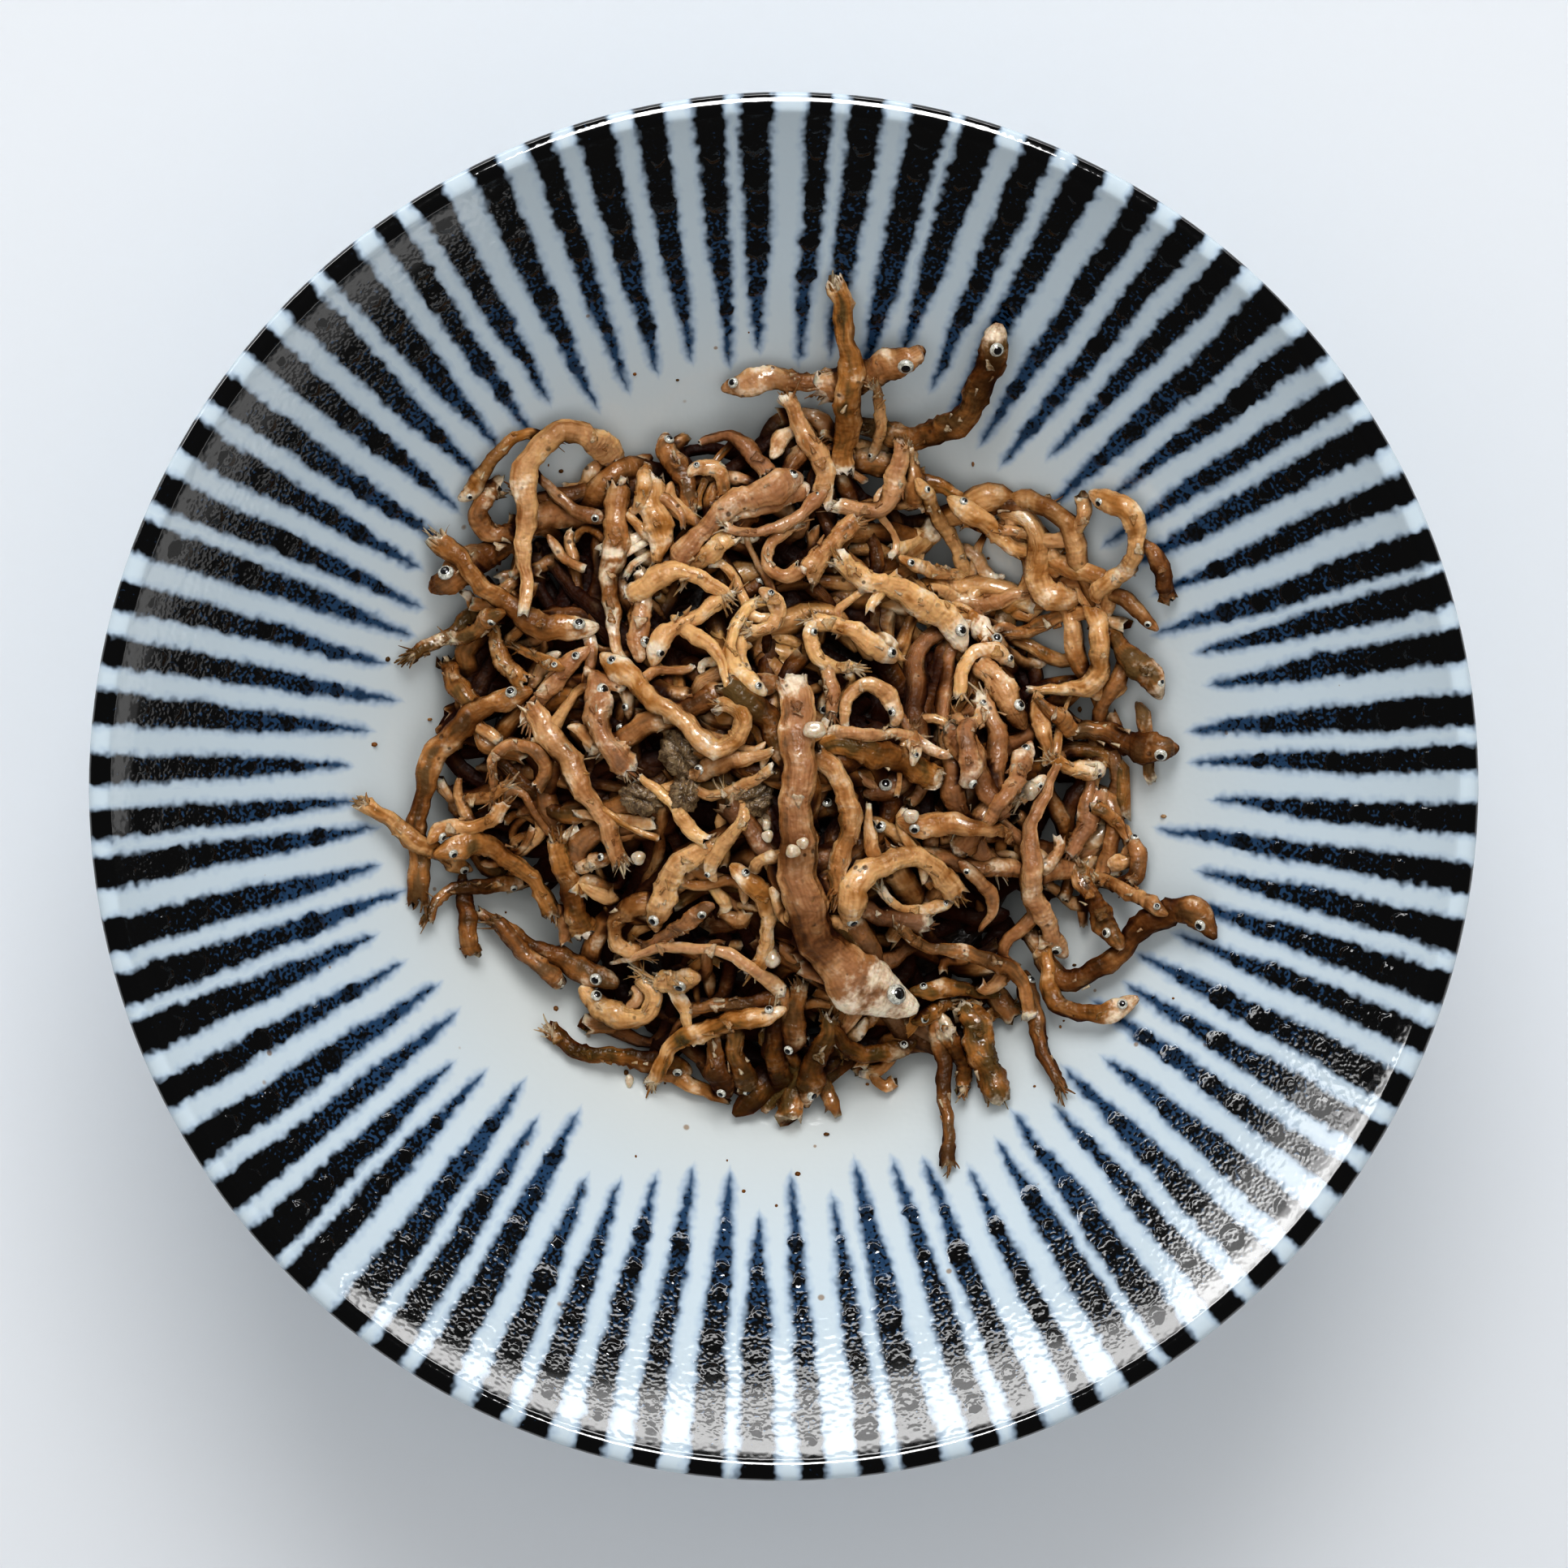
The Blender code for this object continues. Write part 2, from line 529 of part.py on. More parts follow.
def keep_largest_shell(obj):
    """Drops loose scraps and fills sealed hollows, which are shells of their own."""
    bm = bmesh.new()
    bm.from_mesh(obj.data)
    unseen = set(bm.faces)
    shells = []
    while unseen:
        shell = [unseen.pop()]
        for face in shell:
            for edge in face.edges:
                for other in edge.link_faces:
                    if other in unseen:
                        unseen.remove(other)
                        shell.append(other)
        shells.append(shell)
    shells.sort(key=len)
    dropped = [face for shell in shells[:-1] for face in shell]
    bmesh.ops.delete(bm, geom=dropped, context="FACES")
    bmesh.ops.triangulate(bm, faces=bm.faces)
    bm.to_mesh(obj.data)
    bm.free()


def make_heap(finish):
    """The mound and every fish that shows, fused to one solid."""
    heap = new_object("sardine_heap", mound_mesh("sardine_heap"), finish)
    fish = bpy.data.collections.new("fish")
    bpy.context.scene.collection.children.link(fish)
    for number, (route, half, height) in enumerate(laid_fish()):
        name = f"fish_{number:03d}"
        fish.objects.link(bpy.data.objects.new(name, fish_mesh(name, route, half, height)))
    union = heap.modifiers.new("fuse", "BOOLEAN")
    union.operation = "UNION"
    union.operand_type = "COLLECTION"
    union.collection = fish
    union.solver = "EXACT"
    bpy.context.view_layer.objects.active = heap
    bpy.ops.object.modifier_apply(modifier=union.name)
    for obj in list(fish.objects):
        bpy.data.objects.remove(obj)
    bpy.data.collections.remove(fish)
    keep_largest_shell(heap)
    heap.data.materials.clear()
    heap.data.materials.append(finish)
    return heap


def main():
    clear_scene()
    make_dish(material("glazed_porcelain", DISH_COLOUR, 0.15))
    make_heap(material("sardine", FISH_COLOUR, 0.4))


main()
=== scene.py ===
"""Looks for a small dish of dried baby sardines cooked with sansho, laid out as a Blender add-on."""

import math
from functools import lru_cache

import bpy
import numpy as np
from mathutils import Matrix, Vector


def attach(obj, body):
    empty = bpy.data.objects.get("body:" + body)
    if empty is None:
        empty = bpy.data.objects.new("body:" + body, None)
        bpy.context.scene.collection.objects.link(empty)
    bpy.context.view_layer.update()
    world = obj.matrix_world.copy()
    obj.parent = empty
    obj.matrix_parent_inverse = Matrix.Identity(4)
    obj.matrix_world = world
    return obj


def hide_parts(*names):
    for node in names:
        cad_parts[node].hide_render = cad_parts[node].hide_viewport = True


bl_info = {
    "name": "Sardines with sansho",
    "version": (1, 0, 0),
    "blender": (4, 5, 0),
    "location": "3D View > Sidebar > Sardines",
    "description": "Builds a dish of sweet-cooked baby sardines with sansho husks",
    "category": "Add Mesh",
}

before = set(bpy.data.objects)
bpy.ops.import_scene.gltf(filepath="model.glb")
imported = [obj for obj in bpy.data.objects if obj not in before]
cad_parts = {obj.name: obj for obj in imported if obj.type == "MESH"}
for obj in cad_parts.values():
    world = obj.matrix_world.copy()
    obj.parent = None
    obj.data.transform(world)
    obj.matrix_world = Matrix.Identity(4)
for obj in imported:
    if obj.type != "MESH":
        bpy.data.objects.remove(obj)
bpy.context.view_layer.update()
MM = 0.001

# The dish, with the same sizes as its solid.
DISH_RADIUS = 55 * MM
DISH_HEIGHT = 32 * MM
WALL_TOP = DISH_RADIUS - 2 * MM
FLOOR_HEIGHT = 7 * MM
FLOOR_RADIUS = 17 * MM
WALL_RISE = DISH_HEIGHT - 0.5 * MM - FLOOR_HEIGHT
WALL_CURVE = 1.4
WALL_THICKNESS = 3.5 * MM
FOOT_RADIUS = 25.5 * MM
FOOT_WIDTH = 3.4 * MM
FOOT_RECESS = 3 * MM
DISH_SIDES = 96

# How far apart the dark knots of a stripe are, in millimetres.
KNOT_SPACING = 2.85

# The mound of buried fish, and how each fish is laid on the heap.
MOUND_OUTLINE = (27, 24, 20.5, 27, 30, 29, 28, 28, 28, 23, 22, 25.5, 25.5, 25.5, 26, 26)
HEAP_OUTLINE = (31, 32, 32, 29, 30, 29, 31, 30, 28, 27.5, 26, 28, 28.5, 28, 28.5, 30)
MOUND_HEIGHT = 13 * MM
MOUND_RIM = 1 * MM
GAP = 0.35 * MM
DEPTH_TO_WIDTH = 0.9
SINK = 0.35
HOLD = 0.45 * MM
STIFFNESS = 0.75
SAMPLES = 33
BURIED_FISH = 8
BURIED_LENGTHS = (12, 20)
BURIED_WIDTHS = (1.8, 2.5)
GRID_STEP = 0.5 * MM
GRID_REACH = 45 * MM

# Widths in millimetres: the narrowest fish that others rest on, the thin ones, and the large one.
NARROWEST = 1.35
THIN_WIDTH = 1.6
LARGE_WIDTH = 4

# One seed for the fish, and one for each kind of small thing.
SEED = 7
SEEDS = {
    "tucked_eyes": 5,
    "core": 11,
    "eyes": 23,
    "fibres": 31,
    "flakes": 37,
    "husks": 50,
    "beads": 61,
    "crumbs": 71,
}

# Fish and scraps that lie among the others, in millimetres.
TUCKED = {"length": (9, 18), "width": (1.4, 2.5), "depth": (1.2, 4.4), "level": 1}
SCRAPS = {"length": (2.5, 7), "width": (0.8, 1.6), "depth": (0.0, 2.2), "level": 3}

# Width of the head, as a share of the fish's, at distances from the snout counted in its widths.
HEAD_SHARES = (0, 0.12, 0.35, 0.7, 1.1, 1.5, 1.75, 1.95, 2.4)
HEAD_WIDTHS = (0.2, 0.4, 0.62, 0.82, 0.96, 0.99, 0.95, 0.88, 0.94)
LARGE_HEAD_SHARES = (0.5, 1.3, 1.9, 2.3)
LARGE_HEAD_WIDTHS = (1.0, 1.22, 1.16, 0.88)

# Share of the skin's points that stand out as tatters.
TORN_SHARE = 0.045

# For each level of the heap, how golden the fish are, how bright their painted light is (painted shade
# deeper down), and how many still have a head.
GOLDEN_BY_LEVEL = (0.12, 0.3, 0.46, 0.6, 0.72)
PAINTED_LIGHT_BY_LEVEL = (0.44, 0.48, 0.61, 0.70, 0.76)
HEADED_BY_LEVEL = (0.2, 0.7, 0.66, 0.66, 0.7)
LARGE_TONE = (0.42, 0.8)

# Each bowed fish is (head x, head y, tail x, tail y, bow, bow, width) in millimetres, and each
# curled one is (centre x, centre y, radius, bearing of the head, sweep, run, width).
UNDER_BOWED = (
    (-28.3, 15.5, -20.5, 20.5, 0.0, 0.0, 2.8),
    (-24.0, 14.2, -29.8, 10.2, 0.3, 0.3, 1.6),
    (-27.0, 9.6, -24.6, 5.0, 0.0, 0.3, 2.0),
    (-4.6, 31.8, 6.4, 33.2, 0.2, -0.2, 2.1),
    (11.6, 35.0, 3.5, 31.8, 0.3, 0.3, 2.9),
    (17.4, 37.0, 7.0, 28.8, 3.3, 4.1, 2.6),
    (31.6, 15.0, 28.6, 20.5, -0.4, -0.4, 1.8),
    (31.3, 6.6, 26.3, 12.5, -0.4, -0.3, 2.2),
    (32.7, 2.6, 23.8, 4.2, 0.4, 0.0, 2.4),
    (0.4, -25.6, -0.6, -18.5, 0.2, 0.0, 2.0),
    (2.5, -27.2, 4.2, -19.5, 0.3, 0.0, 2.2),
    (-2.6, -26.6, -3.6, -19.5, 0.0, 0.2, 2.0),
    (-3.8, -26.2, -5.6, -21.0, 0.3, 0.0, 2.0),
    (-7.0, -24.4, -18.8, -20.6, 0.0, 0.8, 1.8),
    (-13.0, -17.0, -24.5, -10.8, 0.4, 0.6, 2.4),
    (-17.4, -16.9, -23.2, -11.8, 0.3, 0.0, 1.6),
    (-25.0, -14.0, -25.8, -7.8, 0.2, 0.0, 1.8),
    (11.5, -21.6, 3.8, -19.4, 1.9, 1.8, 1.7),
    (26.4, -1.2, 24.0, -6.0, 0.4, 0.2, 1.9),
    (15.0, 21.2, 22.0, 22.6, 0.4, 0.3, 1.7),
    (9.6, 23.6, 16.2, 22.2, 1.0, 1.0, 1.8),
    (-20.6, -8.6, -28.7, -11.4, -0.9, -1.5, 1.4),
    (31.0, 12.2, 21.8, 15.3, -1.4, -1.8, 1.5),
    (-26.0, 22.9, -18.6, 27.6, 0.6, 1.8, 1.4),
    (35.4, -12.8, 20.8, -12.6, -1.4, 3.4, 2.3),
    (29.4, -17.8, 21.9, -12.2, 4.1, 3.5, 1.9),
    (20.6, -16.0, 23.0, -25.3, -0.4, -0.4, 1.6),
    (13.0, -19.0, 13.9, -31.4, 0.2, 0.2, 1.6),
    (-20.0, 7.4, -29.1, -10.0, -4.3, -3.6, 2.2),
    (-25.0, -7.6, -34.0, -1.5, 0.2, 0.2, 1.7),
)
UNDER_CURLED = (
    (-22.3, 21.9, 2.0, 100, 290, 1.0, 2.0),
    (27.5, -6.6, 2.2, 60, -200, 1.0, 1.5),
)
MIDDLE_BOWED = (
    (-13.8, 21.2, -19.8, 25.6, 0.8, 0.9, 1.4),
    (-13.0, 24.0, -12.6, 9.9, -0.5, -1.0, 2.2),
    (-20.8, 8.0, -23.4, 12.4, 0.4, 0.2, 1.7),
    (-14.9, 9.0, -12.2, 1.0, -0.8, -1.0, 2.6),
    (-15.8, -12.5, -17.9, -4.6, 0.2, 0.3, 2.4),
    (-13.3, -5.7, -16.0, -7.2, 0.0, 0.0, 1.5),
    (-9.1, 28.3, -7.1, 21.8, -0.2, 0.2, 1.9),
    (-0.8, 24.8, -6.4, 27.6, -1.1, -1.3, 1.7),
    (-10.4, 24.4, -9.8, 17.6, 0.0, 0.2, 2.6),
    (-10.8, 25.4, -11.8, 21.8, 0.2, 0.2, 1.3),
    (2.0, 23.6, -4.8, 21.0, 0.0, 0.0, 1.5),
    (-3.9, 19.9, -7.8, 16.4, -0.2, -0.3, 1.7),
    (2.2, 16.6, 6.4, 21.0, 0.3, 0.5, 2.2),
    (11.0, 22.6, 10.4, 27.2, -0.4, -0.4, 1.7),
    (7.6, 25.8, 7.4, 32.2, -0.6, -0.8, 1.1),
    (11.2, 24.6, 16.4, 15.8, 0.1, 0.1, 1.5),
    (13.9, 23.0, 23.2, 18.4, -0.5, -1.1, 1.8),
    (9.9, 18.3, 16.2, 15.6, -0.2, 0.3, 1.4),
    (20.2, 4.2, 16.8, 9.6, 0.0, 0.0, 2.6),
    (26.5, 14.0, 17.8, 11.6, 0.0, 0.2, 1.5),
    (26.9, 0.3, 22.4, 1.7, 0.0, 0.2, 1.7),
    (26.0, -2.3, 28.8, -5.0, 0.2, 0.3, 1.5),
    (31.6, -10.9, 26.0, -8.3, -0.2, -0.4, 1.4),
    (28.0, -13.8, 24.8, -7.2, 0.2, 0.3, 2.2),
    (14.2, 4.0, 18.0, -2.6, 0.0, 0.0, 2.6),
    (12.5, 0.3, 3.0, 2.9, -0.7, -0.9, 2.6),
    (3.8, 9.3, 4.1, 5.6, 0.0, 0.1, 1.5),
    (-11.4, 9.7, -10.9, 16.8, 0.1, 0.2, 2.1),
    (-7.5, 0.5, -0.6, 2.9, 0.2, 0.1, 1.9),
    (-5.3, -10.0, -11.0, -13.6, -0.2, 0.2, 1.6),
    (0.0, -17.7, -7.2, -18.6, 0.1, 0.2, 1.6),
    (20.7, -19.5, 9.5, -11.6, -2.2, -0.5, 1.5),
    (10.7, -17.4, 18.3, -17.9, 0.4, 0.3, 1.6),
    (11.0, -20.0, 14.2, -18.5, 0.0, 0.2, 1.5),
    (14.1, -20.1, 19.7, -18.9, -0.2, -0.1, 1.6),
    (15.6, -19.0, 17.9, -25.8, 0.2, 0.0, 3.0),
    (13.4, -19.2, 15.3, -25.6, 0.2, 0.4, 1.6),
    (1.2, -22.6, 1.6, -16.8, 0.2, 0.0, 2.0),
    (0.6, -18.6, -10.2, -25.0, -1.2, -2.0, 1.9),
    (14.5, -6.5, 16.6, -12.4, 1.2, 1.6, 1.3),
)
MIDDLE_CURLED = (
    (-6.0, 24.2, 1.4, 160, -160, 2.2, 1.4),
    (-11.2, -12.1, 2.1, 60, 200, 0.6, 2.0),
    (-19.9, 4.0, 1.0, 100, -250, 0.0, 1.1),
)
UPPER_BOWED = (
    (-14.6, 12.6, -27.7, 19.7, 2.2, 1.5, 2.2),
    (-22.2, 13.8, -26.4, 11.6, 0.0, 0.2, 1.6),
    (-15.4, 10.9, -20.3, 4.9, -0.4, -0.6, 1.7),
    (-17.4, 9.2, -21.1, 10.8, 0.2, 0.0, 1.1),
    (-20.2, 6.2, -12.7, -6.6, 0.3, 0.3, 2.2),
    (-25.5, -1.5, -22.0, -0.2, -0.4, -0.3, 1.2),
    (-28.5, -5.1, -22.4, -2.0, 0.2, -0.5, 1.6),
    (-28.1, -6.1, -18.2, -10.9, 2.5, 1.9, 2.0),
    (1.9, 24.7, -8.1, 17.4, -1.2, -1.5, 2.4),
    (3.4, 22.6, 0.5, 31.2, -1.0, -0.6, 2.0),
    (10.1, 27.6, 4.7, 22.3, 1.9, 2.5, 1.9),
    (5.1, 25.2, 4.2, 40.4, -0.7, -0.9, 2.4),
    (25.2, 23.4, 25.9, 15.0, 3.4, 3.0, 2.0),
    (13.5, 14.6, 22.5, 16.1, -0.7, -0.8, 1.7),
    (25.8, 14.1, 20.6, 7.5, 3.1, 3.5, 2.0),
    (23.9, -14.8, 23.0, 1.2, 2.6, 2.6, 2.0),
    (21.3, 7.2, 21.9, 1.2, 0.0, 0.1, 1.6),
    (24.3, 3.7, 21.4, 6.6, 0.0, 0.1, 1.6),
    (20.7, 3.1, 16.5, -3.5, 0.2, 0.2, 1.7),
    (9.4, -3.0, 19.1, -4.9, 0.1, 0.7, 2.0),
    (14.2, -10.0, 8.0, -8.6, 1.0, 1.2, 1.1),
    (2.6, 2.3, 4.3, -9.2, 2.2, 1.4, 2.1),
    (10.6, 1.4, 10.8, 4.2, 0.0, 0.0, 1.2),
    (19.0, 10.0, 14.2, 14.0, -0.3, -0.3, 2.2),
    (-8.8, 13.5, -4.5, 7.6, 0.6, 1.1, 1.3),
    (-10.3, 9.4, -4.0, 15.2, 1.1, 0.6, 1.8),
    (-12.0, 15.2, -4.4, 14.8, 1.6, 1.9, 1.9),
    (-0.8, 1.3, -7.0, -0.4, 0.7, 1.0, 1.2),
    (-10.0, -12.3, -5.4, -4.8, 1.2, 1.3, 2.3),
    (-4.1, -6.6, -2.2, -15.3, 1.9, 2.0, 1.8),
    (-6.4, -16.0, -9.9, -16.5, 0.0, 0.0, 2.3),
)
UPPER_CURLED = (
    (-16.9, 24.6, 3.7, 20, 160, 11.0, 2.4),
    (-21.2, 1.0, 2.1, -45, 225, 2.6, 1.3),
    (0.5, 18.4, 1.6, -40, -200, 2.0, 1.4),
    (22.6, 21.9, 2.3, 30, -130, 4.0, 1.4),
    (7.2, 5.6, 2.2, -30, 230, 0.5, 1.7),
    (15.5, 5.7, 1.1, 60, -200, 0.3, 1.3),
    (-2.0, 13.9, 1.7, 80, -170, 0.5, 1.5),
    (-12.3, -17.8, 2.0, 60, -190, 3.4, -2.1),
)
TOP_BOWED = (
    (11.4, -18.8, 0.9, 8.4, 5.7, 3.5, 4.2),
    (15.3, 10.4, 4.5, 18.1, -1.4, -0.5, 2.4),
    (3.5, 4.1, 11.0, 3.5, 0.2, 0.3, 1.3),
    (3.9, 23.7, -4.5, 20.8, 1.2, 1.6, 1.2),
    (9.5, 9.8, 2.5, 13.3, -0.4, -0.4, 2.0),
    (15.0, -0.4, 15.2, 4.8, 0.0, 0.1, 1.9),
    (-1.3, 7.2, -1.8, 14.6, 2.2, 2.4, 1.4),
    (-6.0, -4.7, -11.3, 0.6, 0.1, -0.1, 1.5),
    (-5.2, -8.0, -4.6, -0.7, 0.2, -1.5, 1.3),
    (0.3, -17.3, -13.5, -15.2, -2.4, -2.4, 1.3),
    (21.9, 0.3, 19.6, -1.6, 0.0, 0.0, 1.3),
)
TOP_CURLED = (
    (10.0, -10.6, 4.5, 195, -165, 1.0, 2.4),
    (4.3, 11.6, 2.0, 130, 130, 2.0, 1.5),
    (17.2, 8.1, 2.4, 25, 160, 1.0, 1.5),
    (-4.9, 4.7, 1.8, 100, -230, 11.0, -2.0),
)
LEVELS = (
    (UNDER_BOWED, UNDER_CURLED),
    (MIDDLE_BOWED, MIDDLE_CURLED),
    (UPPER_BOWED, UPPER_CURLED),
    (TOP_BOWED, TOP_CURLED),
)

# Patches of the heap with a colour of their own: x, y, reach, golden, mauve, and how much their painted
# light is raised (below zero, painted shade).
TONE_PATCHES = (
    (-8, 15.5, 5, 0.8, 0.1, 0.0),
    (-3, 10.5, 4.5, 0.85, 0.0, 0.22),
    (10, 14.5, 6, 0.8, 0.1, 0.18),
    (-6, -3, 4, 0.8, 0.0, 0.0),
    (11, -8, 5, 0.7, 0.2, 0.0),
    (0.8, 22, 5, 0.55, 0.9, -0.04),
    (-14, 6, 3, 0.45, 0.9, -0.06),
    (-20, 17, 6, 0.5, 0.5, -0.12),
    (15, 1, 4, 0.4, 0.9, 0.0),
    (-13, 13, 3, 0.5, 0.8, -0.06),
    (19, -9, 4, 0.5, 0.7, 0.0),
    (25, 18, 5, 0.6, 0.3, 0.0),
    (30, 4, 5, 0.1, 0.3, -0.08),
    (17, 33, 6, 0.15, 0.1, -0.10),
    (0, -24, 7, 0.05, 0.0, -0.26),
    (17, -22, 6, 0.15, 0.1, -0.18),
    (26, -14, 5, 0.3, 0.3, -0.14),
    (-24, -10, 7, 0.25, 0.2, -0.22),
    (-29, 2, 6, 0.25, 0.3, -0.18),
    (-27, 13, 5, 0.15, 0.1, -0.10),
    (-31, -3.4, 3, 0.8, 0.0, 0.30),
)

# Places where the flesh is frayed and pale, with their reach.
FRAYED_PLACES = (
    (-22.7, 23, 1.8),
    (-13.5, 18, 2.2),
    (-14.2, 13.5, 1.8),
    (17, 12, 2.0),
    (9.3, 13.3, 1.2),
    (-27, 11, 1.5),
)

# Sansho husks: x, y, size, turn in degrees.
HUSKS = (
    (-11.3, -1.3, 3.4, 20),
    (-7.8, -0.9, 3.2, 100),
    (-2.5, -1.3, 3.8, 160),
    (-8.0, 2.2, 4.2, 60),
)

# Pale beads of fat and roe: x, y, size.
BEADS = (
    (-1.2, -3.3, 1.0),
    (-1.2, -4.2, 0.9),
    (0.8, -5.2, 1.2),
    (1.5, -4.6, 0.9),
    (-11.5, -6.2, 1.3),
    (10.5, -2.7, 1.3),
    (20.5, -0.9, 1.7),
    (-0.6, -14.3, 1.5),
    (2.5, 4.5, 1.6),
    (-12.1, -25.0, 0.9),
)

# Places where the dish shows between the fish, with their radius, and where the gaps are deep.
BARE_PLACES = ((22.5, 11.5, 1.4), (13.5, 17, 1.1), (-20, -11.5, 1.8), (23, -14.5, 1.4))
DEEP_PLACES = (
    (-9, 11), (-21, 10), (-6.5, 2), (-12, -8.5), (12.5, -1), (14.5, -13), (7.3, 5.8), (0.5, 18.5), (-7, 14)
)

# Where the camera looks and from which side, and what width it sees there.
FOCUS = Vector((-0.3 * MM, 0.56 * MM, DISH_HEIGHT))
CAMERA_SIDE = Vector((-0.046, 0.053, 0.9975))
PICTURE_WIDTH = 123.4 * MM
SENSOR_WIDTH = 36

# Plain finishes: two colours, size of their clouds in millimetres, roughness, relief, coat, subsurface.
PLAIN_FINISHES = {
    "heap_shadow": ((20, 11, 6), (46, 28, 14), 1.2, 0.6, 0.5, 0.0, 0.0),
    "eye_silver": ((228, 226, 214), (160, 158, 146), 0.3, 0.15, 0.02, 0.8, 0.0),
    "pupil_black": ((14, 13, 14), (30, 27, 26), 0.3, 0.2, 0.01, 0.5, 0.0),
    "soft_fat": ((224, 210, 188), (198, 174, 142), 0.6, 0.25, 0.05, 0.5, 0.4),
    "husk_rind": ((148, 124, 90), (88, 66, 42), 0.5, 0.45, 0.25, 0.1, 0.1),
}

# Lights: name of the power setting, place, size, and whether it lights things or is only mirrored.
LIGHTS = (
    ("ceiling", (0.0, 0.0, 1.1), (2.4, 2.4), True),
    ("window", (-0.03, 0.78, 0.68), (0.6, 0.6), True),
    ("pane", (0.05, 0.53, 0.88), (0.4, 0.4), False),
    ("far_window", (-0.22, 1.0, 0.265), (3.3, 0.12), False),
    ("side_window", (-1.05, 0.85, 0.35), (0.6, 0.16), False),
    ("far_glow", (0.85, -0.50, 0.11), (1.2, 0.10), False),
)


def linear(red, green, blue):
    """A colour read off as 0 to 255, as the shaders take it."""
    values = np.array((red, green, blue)) / 255
    bright = ((values + 0.055) / 1.055) ** 2.4
    return tuple(float(value) for value in np.where(values > 0.04, bright, values / 12.92))


def ramp(values, start, end):
    """How far values are on their way from one place to another, from 0 to 1."""
    return np.clip((values - start) / (end - start), 0, 1)


def bell(values, reach):
    """1 at no distance, which fades out over this reach."""
    return np.exp(-((values / reach) ** 2))


def smoothed(values, weights):
    """Values mixed with their neighbours by these weights."""
    return np.convolve(np.pad(values, len(weights) // 2, "edge"), weights, "valid")


# Heights of the dish, the mound and the fish that lie on them


def inside_height(radius):
    """Height of the dish's inner surface at this distance from its axis."""
    return FLOOR_HEIGHT + WALL_RISE * ramp(radius, FLOOR_RADIUS, WALL_TOP) ** WALL_CURVE


def inside_slope(radius):
    """How steep the dish's inner surface is at this distance from its axis."""
    step = 0.1 * MM
    return (inside_height(radius + step) - inside_height(radius - step)) / (2 * step)


def reach_by_bearing(outline, bearing):
    """How far an outline, given as radii all round, reaches in this direction from the middle."""
    radii = np.array(outline + outline[:1]) * MM
    return np.interp(bearing % math.tau, np.linspace(0, math.tau, len(radii)), radii)


def mound_reach(bearing):
    """How far the buried fish reach in this direction from the middle."""
    return reach_by_bearing(MOUND_OUTLINE, bearing)


def mound_top(x, y):
    """Height of the buried fish, which the ones that show lie on."""
    share = np.clip(1 - (x * x + y * y) / mound_reach(np.arctan2(y, x)) ** 2, 0, 1)
    return inside_height(np.hypot(x, y)) + MOUND_RIM * (share > 0) + MOUND_HEIGHT * share**0.7


def bowed_route(row):
    """Points of a bowed fish, seen from above, from its head to its tail."""
    head, tail = np.array(row[0:2]) * MM, np.array(row[2:4]) * MM
    first_bow, second_bow = row[4] * MM, row[5] * MM
    way = tail - head
    left = np.array((-way[1], way[0])) / np.hypot(*way)
    t = np.linspace(0, 1, SAMPLES)
    first = 13.5 * t * (1 - t) * (2 / 3 - t)
    second = 13.5 * t * (1 - t) * (t - 1 / 3)
    side = first * first_bow + second * second_bow
    return head + t[:, None] * way + side[:, None] * left


def curled_route(row):
    """Points of a curled fish, seen from above, from its head to its tail."""
    centre, radius = np.array(row[0:2]) * MM, row[2] * MM
    start, sweep, run = math.radians(row[3]), math.radians(row[4]), row[5] * MM
    arc_length = radius * abs(sweep)
    distance = np.linspace(0, arc_length + run, SAMPLES)
    bearing = start + np.minimum(distance, arc_length) / radius * math.copysign(1, sweep)
    points = centre + radius * np.stack((np.cos(bearing), np.sin(bearing)), 1)
    heading = start + sweep + math.copysign(0.5 * math.pi, sweep)
    beyond = np.maximum(distance - arc_length, 0)
    points += beyond[:, None] * np.array((math.cos(heading), math.sin(heading)))
    return points[::-1] if row[6] < 0 else points


def half_widths(width, count):
    """Half the fish's width along it: a blunt snout, a full head and a long taper to the tail."""
    t = np.linspace(0, 1, count)
    snout = np.sqrt(ramp(t, 0, 0.16))
    tail = 1 - 0.62 * ramp(t, 0.35, 1) ** 1.6
    return 0.5 * width * np.maximum(snout, 0.45) * tail


def upper_hull(distance, height):
    """The taut line over a row of heights, as a stiff fish would lie on them."""
    kept = []
    for index in range(len(distance)):
        while len(kept) > 1:
            a, b = kept[-2], kept[-1]
            rise_ab = (height[b] - height[a]) * (distance[index] - distance[a])
            rise_ai = (height[index] - height[a]) * (distance[b] - distance[a])
            if rise_ab > rise_ai:
                break
            kept.pop()
        kept.append(index)
    return np.interp(distance, distance[kept], height[kept])


